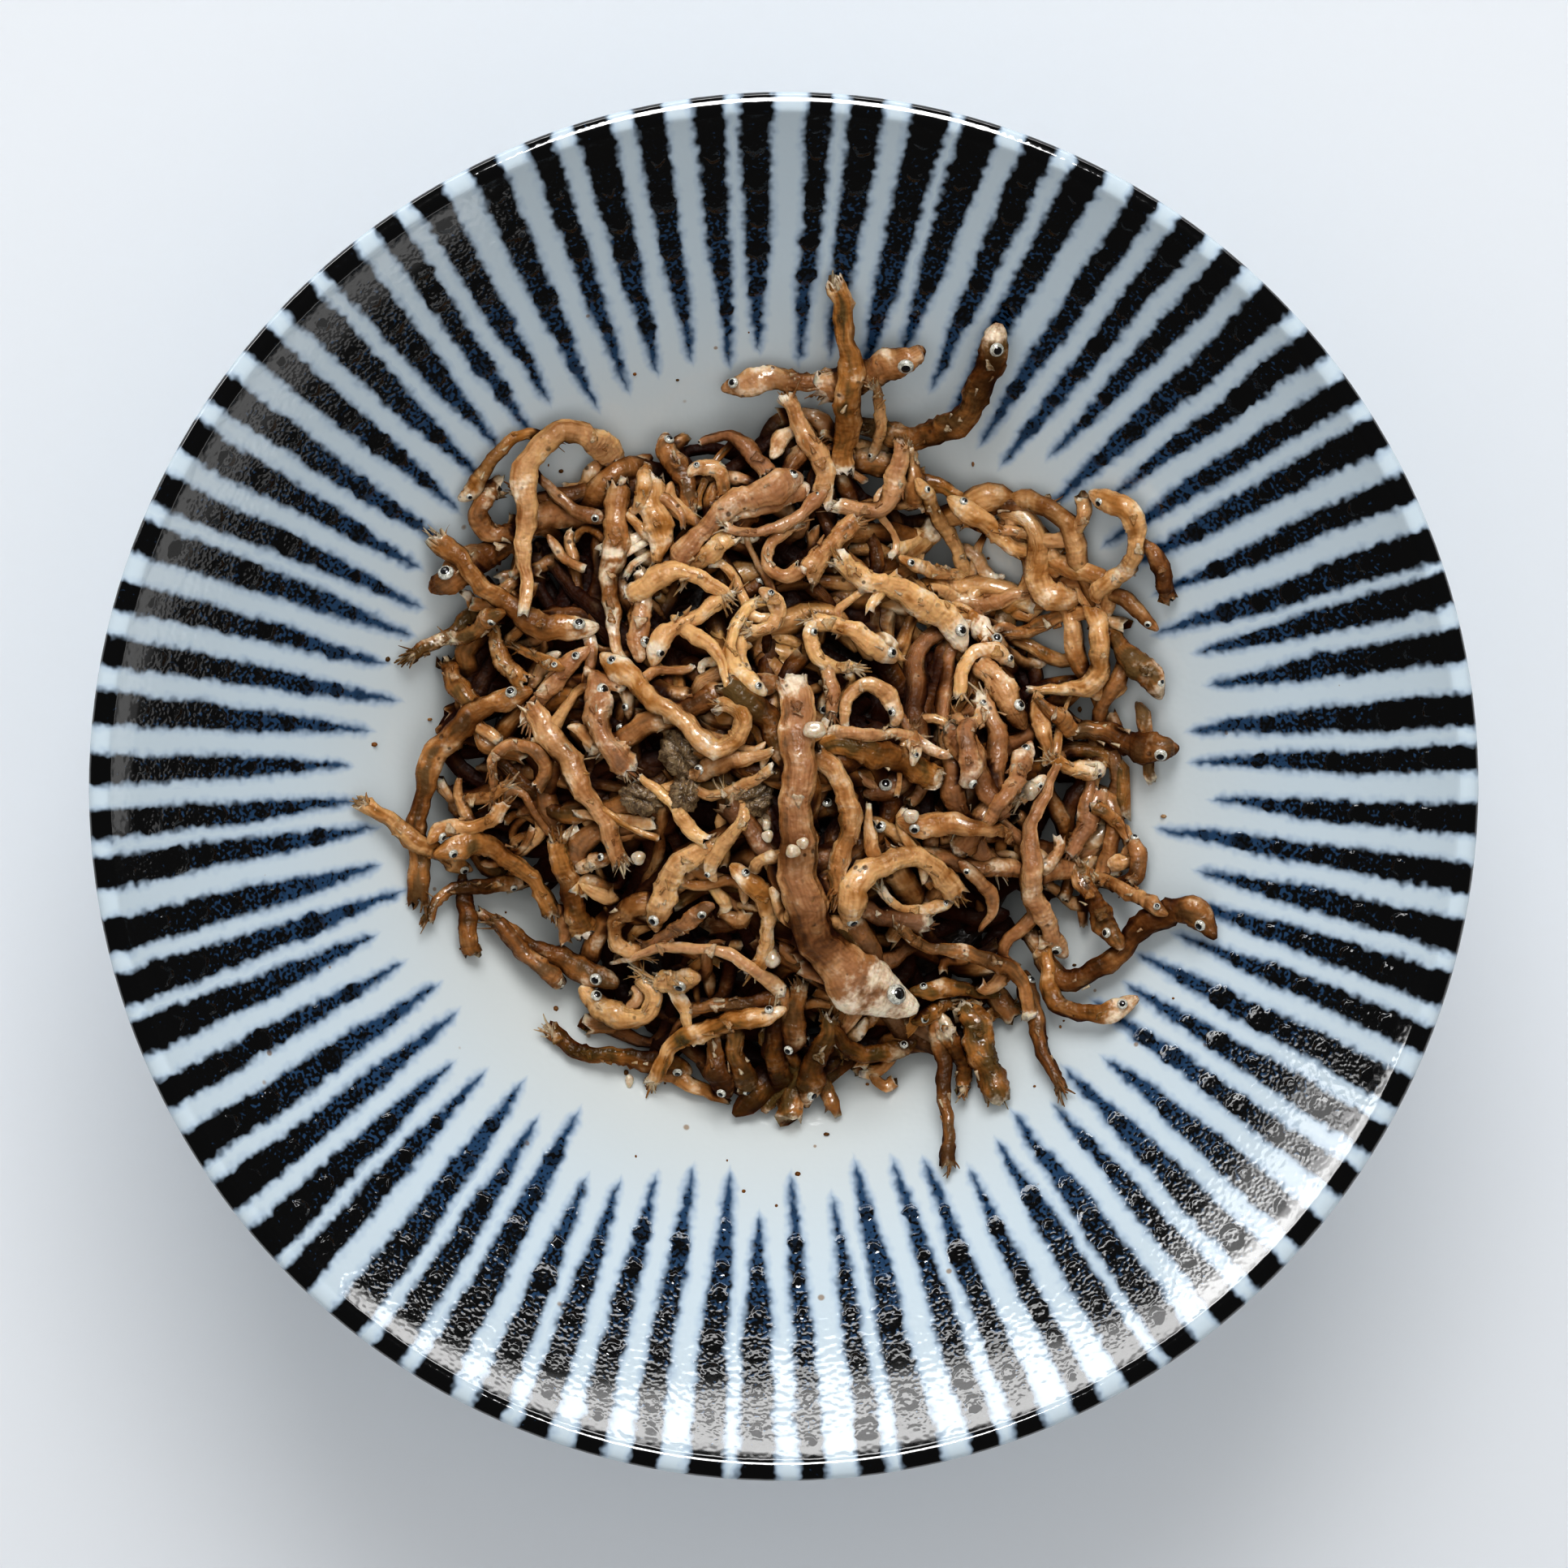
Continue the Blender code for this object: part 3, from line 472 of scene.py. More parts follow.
class Heap:
    """A grid of how high the heap stands, which each fish is laid on and then added to."""

    def __init__(self):
        count = int(round(2 * GRID_REACH / GRID_STEP)) + 1
        self.line = np.linspace(-GRID_REACH, GRID_REACH, count)
        self.x, self.y = np.meshgrid(self.line, self.line, indexing="ij")
        radius = np.hypot(self.x, self.y)
        self.dish = inside_height(radius)
        self.tilt = np.hypot(1, inside_slope(radius))
        self.top = np.maximum(mound_top(self.x, self.y), self.dish)

    def near(self, point, reach):
        """The part of the grid round a point, and the distances from it."""
        low = np.searchsorted(self.line, point - reach - GRID_STEP)
        high = np.searchsorted(self.line, point + reach + GRID_STEP)
        window = (slice(low[0], high[0]), slice(low[1], high[1]))
        return window, np.hypot(self.x[window] - point[0], self.y[window] - point[1])

    def cells(self, route):
        """The grid cell under each point of a route."""
        places = np.rint((route + GRID_REACH) / GRID_STEP).astype(int)
        return places[:, 0], places[:, 1]

    def rest(self, point, half_width):
        """Lowest height for the middle of a fish here: on the heap, and clear of the dish."""
        window, away = self.near(point, half_width)
        close = away < max(half_width, GRID_STEP)
        half_depth = half_width * DEPTH_TO_WIDTH
        on_dish = self.dish[window] + (half_width + GAP) * self.tilt[window]
        on_heap = self.top[window] + half_depth * (1 - 2 * SINK)
        return max(on_dish[close].max(), on_heap[close].max()), on_dish[close].max()

    def clearance(self, route, half, height):
        """Least distance between the underside of a fish and the heap below it."""
        below = self.top[self.cells(route)]
        bare = below <= self.dish[self.cells(route)]
        distances = height - 0.8 * DEPTH_TO_WIDTH * half - below
        return -HOLD if bare.all() else distances[~bare].min()

    def lay(self, route, half, adds_to_heap):
        """Heights of a fish's middle line once it lies on the heap."""
        rests = np.array([self.rest(point, size) for point, size in zip(route, half)])
        steps = np.hypot(*np.diff(route, axis=0).T)
        distance = np.concatenate(((0,), np.cumsum(steps)))
        taut = upper_hull(distance, rests[:, 0])
        slack = smoothed(rests[:, 0], np.ones(7) / 7)
        height = STIFFNESS * taut + (1 - STIFFNESS) * slack
        height -= max(self.clearance(route, half, height) + HOLD, 0)
        height = np.maximum(height, rests[:, 1])
        for point, size, middle in zip(route, half, height) if adds_to_heap else ():
            window, away = self.near(point, size)
            crown = middle + DEPTH_TO_WIDTH * np.sqrt(np.clip(size**2 - away**2, 0, None))
            raised = np.maximum(self.top[window], crown)
            self.top[window] = np.where(away < size, raised, self.top[window])
        return height

    def tuck(self, route, half, depth):
        """Heights of a fish that lies this far below the heap's top."""
        rests = np.array([self.rest(point, size)[1] for point, size in zip(route, half)])
        top = np.array([self.top[self.near(point, 2 * MM)[0]].mean() for point in route])
        return np.maximum(smoothed(top - depth, np.ones(11) / 11), rests)

    def top_at(self, x, y, reach=0.8 * MM):
        """How high the heap stands round a place."""
        window, away = self.near(np.array((x, y)), reach)
        return float(self.top[window][away < reach].max())


class Fish:
    """One laid fish: its middle line, half widths, level in the heap and way of being cooked."""

    def __init__(self, route, half, height, level, width, random):
        self.line = np.column_stack((route, height))
        self.half = half
        self.level = level
        self.width = width
        self.large = width >= LARGE_WIDTH
        self.roll = random.uniform(-0.5, 0.5)
        self.phases = random.uniform(0, math.tau, 6)
        golden = GOLDEN_BY_LEVEL[level] + random.uniform(-0.26, 0.26)
        mauve = random.uniform(0, 1) ** 1.2
        self.cut = random.uniform() < 0.8
        self.headed = self.large or random.uniform() < HEADED_BY_LEVEL[level]
        middle = self.line[len(self.line) // 2] / MM
        # How much the patches raise this fish's painted light, or lower it as painted shade.
        self.painted_light_shift = 0.0
        for x, y, reach, patch_golden, patch_mauve, patch_light_shift in TONE_PATCHES:
            near = bell(math.hypot(middle[0] - x, middle[1] - y), reach)
            golden += (patch_golden - golden) * near
            mauve += (patch_mauve - mauve) * near
            self.painted_light_shift += patch_light_shift * near
        if self.large:
            golden, mauve = LARGE_TONE
        self.tone = (min(max(golden, 0), 1), min(max(mauve, 0), 1), random.uniform(0, 1))

    def length(self):
        return float(np.linalg.norm(np.diff(self.line, axis=0), axis=1).sum())


def buried_rows():
    """Bowed fish at random over the mound, which show in the gaps between the others."""
    random = np.random.default_rng(SEED)
    rows = []
    while len(rows) < BURIED_FISH:
        length, width = random.uniform(*BURIED_LENGTHS), random.uniform(*BURIED_WIDTHS)
        middle = random.uniform(-27, 27, 2)
        turn = random.uniform(0, math.tau)
        half = 0.5 * length * np.array((math.cos(turn), math.sin(turn)))
        bow = random.uniform(-3, 3)
        ends = np.array((middle + half, middle - half))
        reach = mound_reach(np.arctan2(ends[:, 1], ends[:, 0]))
        if np.all(np.hypot(*ends.T) * MM < reach):
            rows.append((*ends.ravel(), bow, bow, width))
    return rows


def laid_fish(heap, random):
    """Every fish that has a place of its own, from the lowest to the highest."""
    laid = []
    for level, (bowed, curled) in enumerate(((buried_rows(), ()), *LEVELS)):
        routes = [(bowed_route(row), row[6]) for row in bowed]
        routes += [(curled_route(row), abs(row[6])) for row in curled]
        for route, width in routes:
            half = half_widths(width * MM, SAMPLES)
            height = heap.lay(route, half, width >= NARROWEST)
            laid.append(Fish(route, half, height, level, width, random))
    return laid


def scattered_fish(heap, random, count, kind):
    """Fish or scraps of them at random among the others, each this far below the heap's top."""
    made = []
    while len(made) < count:
        middle = random.uniform(-31, 31, 2)
        turn, length = random.uniform(0, math.tau), random.uniform(*kind["length"])
        width, bows = random.uniform(*kind["width"]), random.uniform(-0.2, 0.2, 2) * length
        half_way = 0.5 * length * np.array((math.cos(turn), math.sin(turn)))
        route = bowed_route((*(middle + half_way), *(middle - half_way), *bows))
        bearing = np.arctan2(route[:, 1], route[:, 0])
        if np.any(np.hypot(*route.T) > reach_by_bearing(HEAP_OUTLINE, bearing)):
            continue
        if any(np.hypot(*(route / MM - place[:2]).T).min() < place[2] for place in BARE_PLACES):
            continue
        depth = random.uniform(*kind["depth"]) * MM
        for x, y in DEEP_PLACES:
            away = np.hypot(*(route / MM - (x, y)).T)
            depth = depth + 2.5 * MM * bell(away, 2.2)
        half = half_widths(width * MM, SAMPLES)
        height = heap.tuck(route, half, depth)
        made.append(Fish(route, half, height, kind["level"], width, random))
    return made


@lru_cache(maxsize=None)
def cooked_heap(seed, tucked_count, scrap_count):
    """The heap's grid, the fish with a place of their own, those tucked in among them, and scraps."""
    random = np.random.default_rng(seed)
    heap = Heap()
    shown = laid_fish(heap, random)
    tucked = scattered_fish(heap, random, tucked_count, TUCKED)
    scraps = scattered_fish(heap, random, scrap_count, SCRAPS)
    return heap, shown, tucked, scraps


# Meshes


def deselect_all():
    """Leaves edit mode with nothing selected, ready for the next shape."""
    if bpy.context.mode != "OBJECT":
        bpy.ops.object.mode_set(mode="OBJECT")
    bpy.ops.object.select_all(action="DESELECT")


def finish_piece(obj, name, material, smooth=True):
    """Names a piece, gives it its material and lets it ride on the object."""
    obj.name = name
    obj.data.name = name
    obj.data.materials.clear()
    obj.data.materials.append(material)
    if smooth:
        obj.data.shade_smooth()
    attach(obj, "root")
    return obj


def as_arrays(obj):
    """A modelled shape's points and faces, after which its object is removed."""
    points = np.array([vertex.co[:] for vertex in obj.data.vertices])
    faces = [tuple(face.vertices) for face in obj.data.polygons]
    bpy.data.objects.remove(obj)
    return points, faces


def ball_shape(subdivisions, radius=1):
    """A ball of triangles."""
    deselect_all()
    bpy.ops.mesh.primitive_ico_sphere_add(subdivisions=subdivisions, radius=radius)
    return as_arrays(bpy.context.object)


def tube_shape(rings, sides):
    """A closed tube along X from 0 to 1 with a radius of 1, cut across into rings."""
    deselect_all()
    bpy.ops.mesh.primitive_cylinder_add(
        vertices=sides, radius=1, depth=1, end_fill_type="TRIFAN",
        rotation=(0, 0.5 * math.pi, 0), location=(0.5, 0, 0),
    )
    tube = bpy.context.object
    bpy.ops.object.transform_apply(location=True, rotation=True, scale=True)
    bpy.ops.object.mode_set(mode="EDIT")
    bpy.ops.mesh.select_mode(type="EDGE")
    bpy.ops.mesh.select_all(action="DESELECT")
    bpy.ops.object.mode_set(mode="OBJECT")
    for edge in tube.data.edges:
        first, second = (tube.data.vertices[corner].co for corner in edge.vertices)
        edge.select = abs(first.x - second.x) > 0.5 and first.yz.length > 0.5
    bpy.ops.object.mode_set(mode="EDIT")
    bpy.ops.mesh.subdivide(number_cuts=rings - 2)
    bpy.ops.object.mode_set(mode="OBJECT")
    return as_arrays(tube)


class Batch:
    """Many small shapes joined to one mesh, with a colour and a pair of UVs for each point."""

    def __init__(self):
        self.points, self.faces, self.tones, self.places = [], [], [], []
        self.count = 0

    def add(self, points, faces, tone, places=(0, 0)):
        """Takes up one shape. Tone and places are for each point or for all of them."""
        self.points.append(points)
        self.faces += [tuple(corner + self.count for corner in face) for face in faces]
        self.tones.append(np.broadcast_to(tone, (len(points), 4)))
        self.places.append(np.broadcast_to(places, (len(points), 2)))
        self.count += len(points)

    def object(self, name):
        """The joined mesh as an object of the scene."""
        mesh = bpy.data.meshes.new(name)
        mesh.from_pydata(np.concatenate(self.points).tolist(), [], self.faces)
        tone = mesh.attributes.new("tone", "FLOAT_COLOR", "POINT")
        tone.data.foreach_set("color", np.concatenate(self.tones).astype(np.float32).ravel())
        corners = np.empty(len(mesh.loops), dtype=np.int32)
        mesh.loops.foreach_get("vertex_index", corners)
        places = np.concatenate(self.places).astype(np.float32)[corners]
        mesh.uv_layers.new(name="UVMap").uv.foreach_set("vector", places.ravel())
        mesh.validate()
        obj = bpy.data.objects.new(name, mesh)
        bpy.context.scene.collection.objects.link(obj)
        return obj


# Skins of the fish


def at(distance, distances, values):
    """Values along a line, read off at other distances."""
    return np.column_stack([np.interp(distance, distances, column) for column in values.T])


def unit(rows):
    """Each row at a length of 1."""
    return rows / np.linalg.norm(rows, axis=1)[:, None]


class Section:
    """A fish at some shares of its length: distance, middle, directions and half width."""

    def __init__(self, fish, t):
        steps = np.linalg.norm(np.diff(fish.line, axis=0), axis=1)
        distances = np.concatenate(((0,), np.cumsum(steps)))
        self.distance = t * distances[-1]
        self.middle = at(self.distance, distances, fish.line)
        slopes = np.gradient(fish.line, distances, axis=0)
        slopes = np.apply_along_axis(smoothed, 0, slopes, (0.25, 0.5, 0.25))
        self.along = unit(at(self.distance, distances, slopes))
        self.across = unit(np.cross(self.along, (0, 0, 1)))
        self.upward = np.cross(self.across, self.along)
        self.half = np.interp(self.distance, distances, fish.half)


def spot(fish, share):
    """Middle, directions and half width of a fish at one place along it."""
    section = Section(fish, np.array((share,)))
    return section.middle[0], section.along[0], section.across[0], section.upward[0], section.half[0]


class Skin:
    """The skin of one fish: for each point, where it is on the fish, along it and round it."""

    def __init__(self, fish, shape):
        self.fish = fish
        self.t = np.clip(shape[:, 0], 0, 1) ** 1.25
        self.around = np.arctan2(shape[:, 2], shape[:, 1])
        self.radius = np.minimum(np.hypot(shape[:, 1], shape[:, 2]), 1)
        self.section = Section(fish, self.t)
        self.far = self.section.distance / MM
        self.widths_along = self.section.distance / (fish.width * MM)
        self.turn = self.around + fish.roll * (1 + self.t)
        # How much a point faces sideways; the flanks get painted light, as if shining through their thin
        # edges.
        self.side = np.abs(np.cos(self.turn)) ** 3
        self.broken = ramp(self.t, 0.955, 1)
        if not fish.headed:
            self.broken = np.maximum(self.broken, ramp(self.t, 0.04, 0))
        crease_turn = 0.5 * math.pi + 0.7 * math.sin(fish.phases[5])
        self.crease = bell(self.around - crease_turn, 0.22) * ramp(self.widths_along, 1.9, 2.5)
        self.torn = 0.0

    def body(self):
        """Half widths without and with the narrowing of the head."""
        fish = self.fish
        half = np.where(self.widths_along < 1.6, 0.5 * fish.width * MM, self.section.half)
        if fish.cut:
            half = np.maximum(half, 0.41 * fish.width * MM)
        body = half * (np.interp(self.widths_along, HEAD_SHARES, HEAD_WIDTHS) if fish.headed else 0.9)
        if fish.large:
            body *= np.interp(self.widths_along, LARGE_HEAD_SHARES, LARGE_HEAD_WIDTHS)
        return half, body

    def swells(self, random):
        """Unevenness of the fish's girth, as a share of it."""
        far, around, t = self.far, self.around, self.t
        a, b, c, d, e, _ = self.fish.phases
        waves = 0.07 * np.sin(1.3 * far + c) + 0.03 * np.sin(3.9 * far + e + 2 * around)
        waves += 0.05 * np.sin(3 * around + a + 5 * t) + 0.04 * np.sin(2 * around + b - 1.9 * far)
        waves += 0.02 * np.sin(7.0 * far + a) + 0.10 * np.sin(0.55 * far + d)
        waves += random.normal(0, 0.022, len(t)) + random.normal(0, 0.12, len(t)) * self.broken
        return waves * (0.35 if self.fish.large else 1)

    def tear(self, random):
        """Marks the points along the flanks where flesh stands out in tatters."""
        count = len(self.t)
        torn = self.side * (random.uniform(0, 1, count) < TORN_SHARE) * ramp(self.widths_along, 1.6, 2.2)
        self.torn = torn * random.uniform(0.1, 0.35, count) * (self.fish.cut and not self.fish.large)

    def points(self, random):
        """The points of the skin, bent along the fish's middle line."""
        fish, section = self.fish, self.section
        a, b, _, d, e, f = fish.phases
        half, body = self.body()
        waves = self.swells(random)
        self.tear(random)
        mouth = bell(self.around - 0.5 * math.pi + 0.9 * math.copysign(1, fish.roll), 0.2)
        mouth *= ramp(self.widths_along, 1, 0)
        flank = bell(np.sin(self.turn - 0.35 * math.sin(b)), 0.2) * ramp(self.widths_along, 1.9, 2.5)
        size = body * (1 + waves + self.torn - 0.12 * self.crease - 0.25 * mouth) * self.radius
        size *= 1 - 0.16 * flank
        deep = size * DEPTH_TO_WIDTH * (0.74 - 0.22 * math.sin(a))
        sway = MM * min(fish.width / 2, 1) * ramp(self.t, 0, 0.2)
        kink = sway * (0.18 * np.sin(1.1 * self.far + d) + 0.06 * np.sin(3.1 * self.far + f))
        lift = sway * 0.07 * np.sin(1.4 * self.far + e)
        outward = np.where(self.t > 0.5, 1, -1)
        jagged = np.where(self.radius > 0.5, random.uniform(-0.5, 0.7, len(self.t)), -0.7)
        ragged = self.broken * half * outward * jagged * (0.3 if fish.large else 1)
        aside = (kink + size * np.cos(self.turn))[:, None] * section.across
        upward = (lift + deep * np.sin(self.turn))[:, None] * section.upward
        return section.middle + aside + upward + ragged[:, None] * section.along

    def tones(self, points, heap, random):
        """How golden, mauve and pale each point is, and its light value: painted light on the upward side
        and painted shade the deeper it lies in the heap.
        """
        fish = self.fish
        _, b, c, d, e, _ = fish.phases
        golden, mauve, chance = fish.tone
        in_head = ramp(self.widths_along, 2.0, 1.5 if fish.large else 0.8) * fish.headed
        head_pale = 0.68 if fish.large else 0.15 + 0.3 * math.sin(d) ** 2
        pale = head_pale * in_head + 0.7 * self.broken + 1.2 * self.torn
        if not fish.large:
            # Pale bands along the fish, made paler on the flanks as painted light shining through the
            # edges.
            bands = np.clip(np.sin(1.3 * self.far + c), 0, 1) * math.cos(e) ** 2
            pale += (0.1 + 0.3 * self.side) * bands
        for x, y, reach in FRAYED_PLACES:
            away = np.hypot(points[:, 0] / MM - x, points[:, 1] / MM - y)
            pale += random.uniform(0.3, 1.1, len(self.t)) * bell(away, reach)
        # Painted light and shade: brighter on a point's upward side, darker the deeper it lies below the
        # heap's top; the chance and the slow wave along the fish are tone at random.
        sunk = np.clip((heap.top[heap.cells(points[:, :2])] - points[:, 2]) / MM, 0, 5)
        light = fish.painted_light_shift + PAINTED_LIGHT_BY_LEVEL[fish.level] + 0.3 * (chance - 0.5)
        light = light + 0.34 * np.sin(self.turn) + 0.14 * np.sin(0.8 * self.far + b) - 0.40 * sunk
        # The flanks are more golden and less mauve: painted light shining through the thin edges.
        golden = golden - 0.3 * self.crease + 0.2 * self.side
        return np.clip(np.column_stack((golden, mauve * (1 - 0.6 * self.side), light, pale)), 0, 1)

    def places(self):
        """UVs in millimetres, along the fish and round it."""
        chance = self.fish.tone[2]
        return np.column_stack((self.far + 40 * chance, (self.around + 4) * self.fish.width * 0.5))


def fish_batch(name, fishes, rings, sides, heap):
    """One mesh of many fish, each bent along its own line."""
    random = np.random.default_rng(SEED)
    shape, faces = tube_shape(rings, sides)
    batch = Batch()
    for fish in fishes:
        skin = Skin(fish, shape)
        points = skin.points(random)
        batch.add(points, faces, skin.tones(points, heap, random), skin.places())
    return batch.object(name)


# Node trees


class Value:
    """What a node gives, to be added, multiplied and so on like a number."""

    def __init__(self, nodes, socket):
        self.nodes = nodes
        self.socket = socket

    def __add__(self, other):
        return self.nodes.math("ADD", self, other)

    def __sub__(self, other):
        return self.nodes.math("SUBTRACT", self, other)

    def __mul__(self, other):
        return self.nodes.math("MULTIPLY", self, other)

    def __truediv__(self, other):
        return self.nodes.math("DIVIDE", self, other)

    def __pow__(self, other):
        return self.nodes.math("POWER", self, other)

    def clamped(self):
        """The same value, held between 0 and 1."""
        self.socket.node.use_clamp = True
        return self

    def spread(self, low, high, to_low=0.0, to_high=1.0):
        """The value eased from one range to another."""
        inputs = {"Value": self, "From Min": low, "From Max": high, "To Min": to_low, "To Max": to_high}
        return self.nodes.value("ShaderNodeMapRange", inputs, "Result", interpolation_type="SMOOTHSTEP")


class Nodes:
    """Short calls for building one node tree. Sizes are in millimetres."""

    def __init__(self, tree):
        self.tree = tree

    def feed(self, sockets, values):
        """Sets sockets, or links them to what other nodes give."""
        for key, value in values.items():
            socket = sockets[key]
            if isinstance(value, Value):
                self.tree.links.new(value.socket, socket)
            elif socket.type == "RGBA":
                socket.default_value = (*value, 1)
            else:
                socket.default_value = value

    def add(self, kind, inputs=None, **settings):
        node = self.tree.nodes.new(kind)
        for name, value in settings.items():
            setattr(node, name, value)
        self.feed(node.inputs, inputs or {})
        return node

    def value(self, kind, inputs, output=0, **settings):
        """One output of a new node."""
        return Value(self, self.add(kind, inputs, **settings).outputs[output])

    def values(self, kind, inputs, **settings):
        """All outputs of a new node."""
        return [Value(self, socket) for socket in self.add(kind, inputs, **settings).outputs]

    def math(self, operation, *values):
        return self.value("ShaderNodeMath", dict(enumerate(values)), operation=operation)

    def mix(self, factor, first, second, blend="MIX"):
        inputs = {0: factor, 6: first, 7: second}
        return self.value("ShaderNodeMix", inputs, 2, data_type="RGBA", blend_type=blend)

    def noise(self, place, size, detail=0.0):
        inputs = {"Vector": place, "Scale": 1 / (size * MM), "Detail": detail, "Roughness": 0.55}
        return self.value("ShaderNodeTexNoise", inputs)

    def chances(self, inputs, dimensions):
        """Three numbers at random for each whole number, or for each pair of them."""
        kind = "ShaderNodeTexWhiteNoise"
        return self.split(self.value(kind, inputs, "Color", noise_dimensions=dimensions))

    def place(self):
        return self.value("ShaderNodeTexCoord", {}, "Object")

    def split(self, vector):
        return self.values("ShaderNodeSeparateXYZ", {0: vector})

    def join(self, x, y, z=0.0):
        return self.value("ShaderNodeCombineXYZ", {0: x, 1: y, 2: z})

    def bump(self, height):
        """A bump whose height is in millimetres."""
        return self.value("ShaderNodeBump", {"Strength": 1.0, "Distance": MM, "Height": height})

    def use(self, group, **inputs):
        return self.values("ShaderNodeGroup", inputs, node_tree=group)


def shared_group(name, numbers, results):
    """An empty group that takes a place and some numbers: its tree, builder, inputs and end."""
    tree = bpy.data.node_groups.new(name, "ShaderNodeTree")
    tree.interface.new_socket("Place", in_out="INPUT", socket_type="NodeSocketVector")
    for label in numbers:
        tree.interface.new_socket(label, in_out="INPUT", socket_type="NodeSocketFloat")
    for label in results:
        tree.interface.new_socket(label, in_out="OUTPUT", socket_type="NodeSocketFloat")
    nodes = Nodes(tree)
    given = {socket.name: Value(nodes, socket) for socket in nodes.add("NodeGroupInput").outputs}
    return tree, nodes, given, nodes.add("NodeGroupOutput").inputs


@lru_cache(maxsize=None)
def speckle_group():
    """Round specks, one to a cell and only in some cells."""
    tree, nodes, given, result = shared_group("Speckle", ("Spacing", "Size", "Share"), ("Mask",))
    scale = nodes.math("DIVIDE", 1 / MM, given["Spacing"])
    cells = nodes.add("ShaderNodeTexVoronoi", {"Vector": given["Place"], "Scale": scale}).outputs
    chance, big, _ = nodes.split(Value(nodes, cells["Color"]))
    away = Value(nodes, cells["Distance"]) * given["Spacing"]
    size = given["Size"] * (big + 0.4)
    dot = away.spread(size * 0.5, size, 1.0, 0.0)
    nodes.feed(result, {"Mask": dot * nodes.math("LESS_THAN", chance, given["Share"])})
    return tree


@lru_cache(maxsize=None)
def mottle_group():
    """Cloudy unevenness at two sizes at once."""
    tree, nodes, given, result = shared_group("Mottle", ("Coarse", "Fine"), ("Clouds", "Grain"))
    for label, size in (("Clouds", "Coarse"), ("Grain", "Fine")):
        scale = nodes.math("DIVIDE", 1 / MM, given[size])
        inputs = {"Vector": given["Place"], "Scale": scale, "Detail": 1.0}
        nodes.feed(result, {label: nodes.value("ShaderNodeTexNoise", inputs)})
    return tree


def new_material(name, constants):
    """A material with these constants, its node builder and its shader's inputs."""
    material = bpy.data.materials.new(name)
    material.use_nodes = True
    shader = material.node_tree.nodes["Principled BSDF"].inputs
    shader["Subsurface Radius"].default_value = (1.0, 0.45, 0.2)
    shader["Subsurface Scale"].default_value = 1.0 * MM
    for socket, value in constants.items():
        shader[socket].default_value = value
    return material, Nodes(material.node_tree), shader


def painted_stripes(nodes, place, settings):
    """How far inside a stripe a place is, in millimetres, and how much of a dark knot it is in."""
    x, y, _ = nodes.split(place)
    radius = nodes.math("SQRT", x * x + y * y) * (1 / MM)
    clouds, grain = nodes.use(mottle_group(), Place=place, Coarse=7.0, Fine=0.9)
    count = float(settings.stripes)
    pitch = radius * (math.tau / count)
    turn = nodes.math("ARCTAN2", y, x) * (count / math.tau)
    turn = turn + (clouds - 0.5) * 0.22 + (grain - 0.5) * 0.20
    number = nodes.math("FLOOR", turn)
    shift, width, tip = nodes.chances({"W": number}, "1D")
    off = nodes.math("FRACT", turn) - (shift * 0.2 + 0.4)
    past_tip = radius - (tip * 4.5 + (settings.tip_radius / MM - 2.2))
    share = radius.spread(30.0, 55.0, 0.42, 0.57) * (width * 0.36 + 0.82)
    taper = (past_tip / 8.0).clamped() ** 0.75
    edge = (share * taper * 0.5 - nodes.math("ABSOLUTE", off)) * pitch
    step = radius / KNOT_SPACING + shift * 3.0
    slip, small, _ = nodes.chances({"Vector": nodes.join(number, nodes.math("FLOOR", step))}, "2D")
    beside = off * pitch
    beyond = (nodes.math("FRACT", step) - (slip * 0.4 + 0.3)) * KNOT_SPACING
    away = (beside * beside + beyond * beyond) * (small * 2.4 + 0.5)
    knots = away.spread(0.12, 0.75, 1.0, 0.0) * past_tip.spread(1.5, 6.5)
    fray = nodes.noise(place, 0.75, 1.0)
    edge = edge + knots * grain * 0.75 + (fray - 0.5) * 0.36 - past_tip.spread(-1.0, 1.5, 1.0, 0.0)
    return radius, clouds, grain, fray, edge, knots


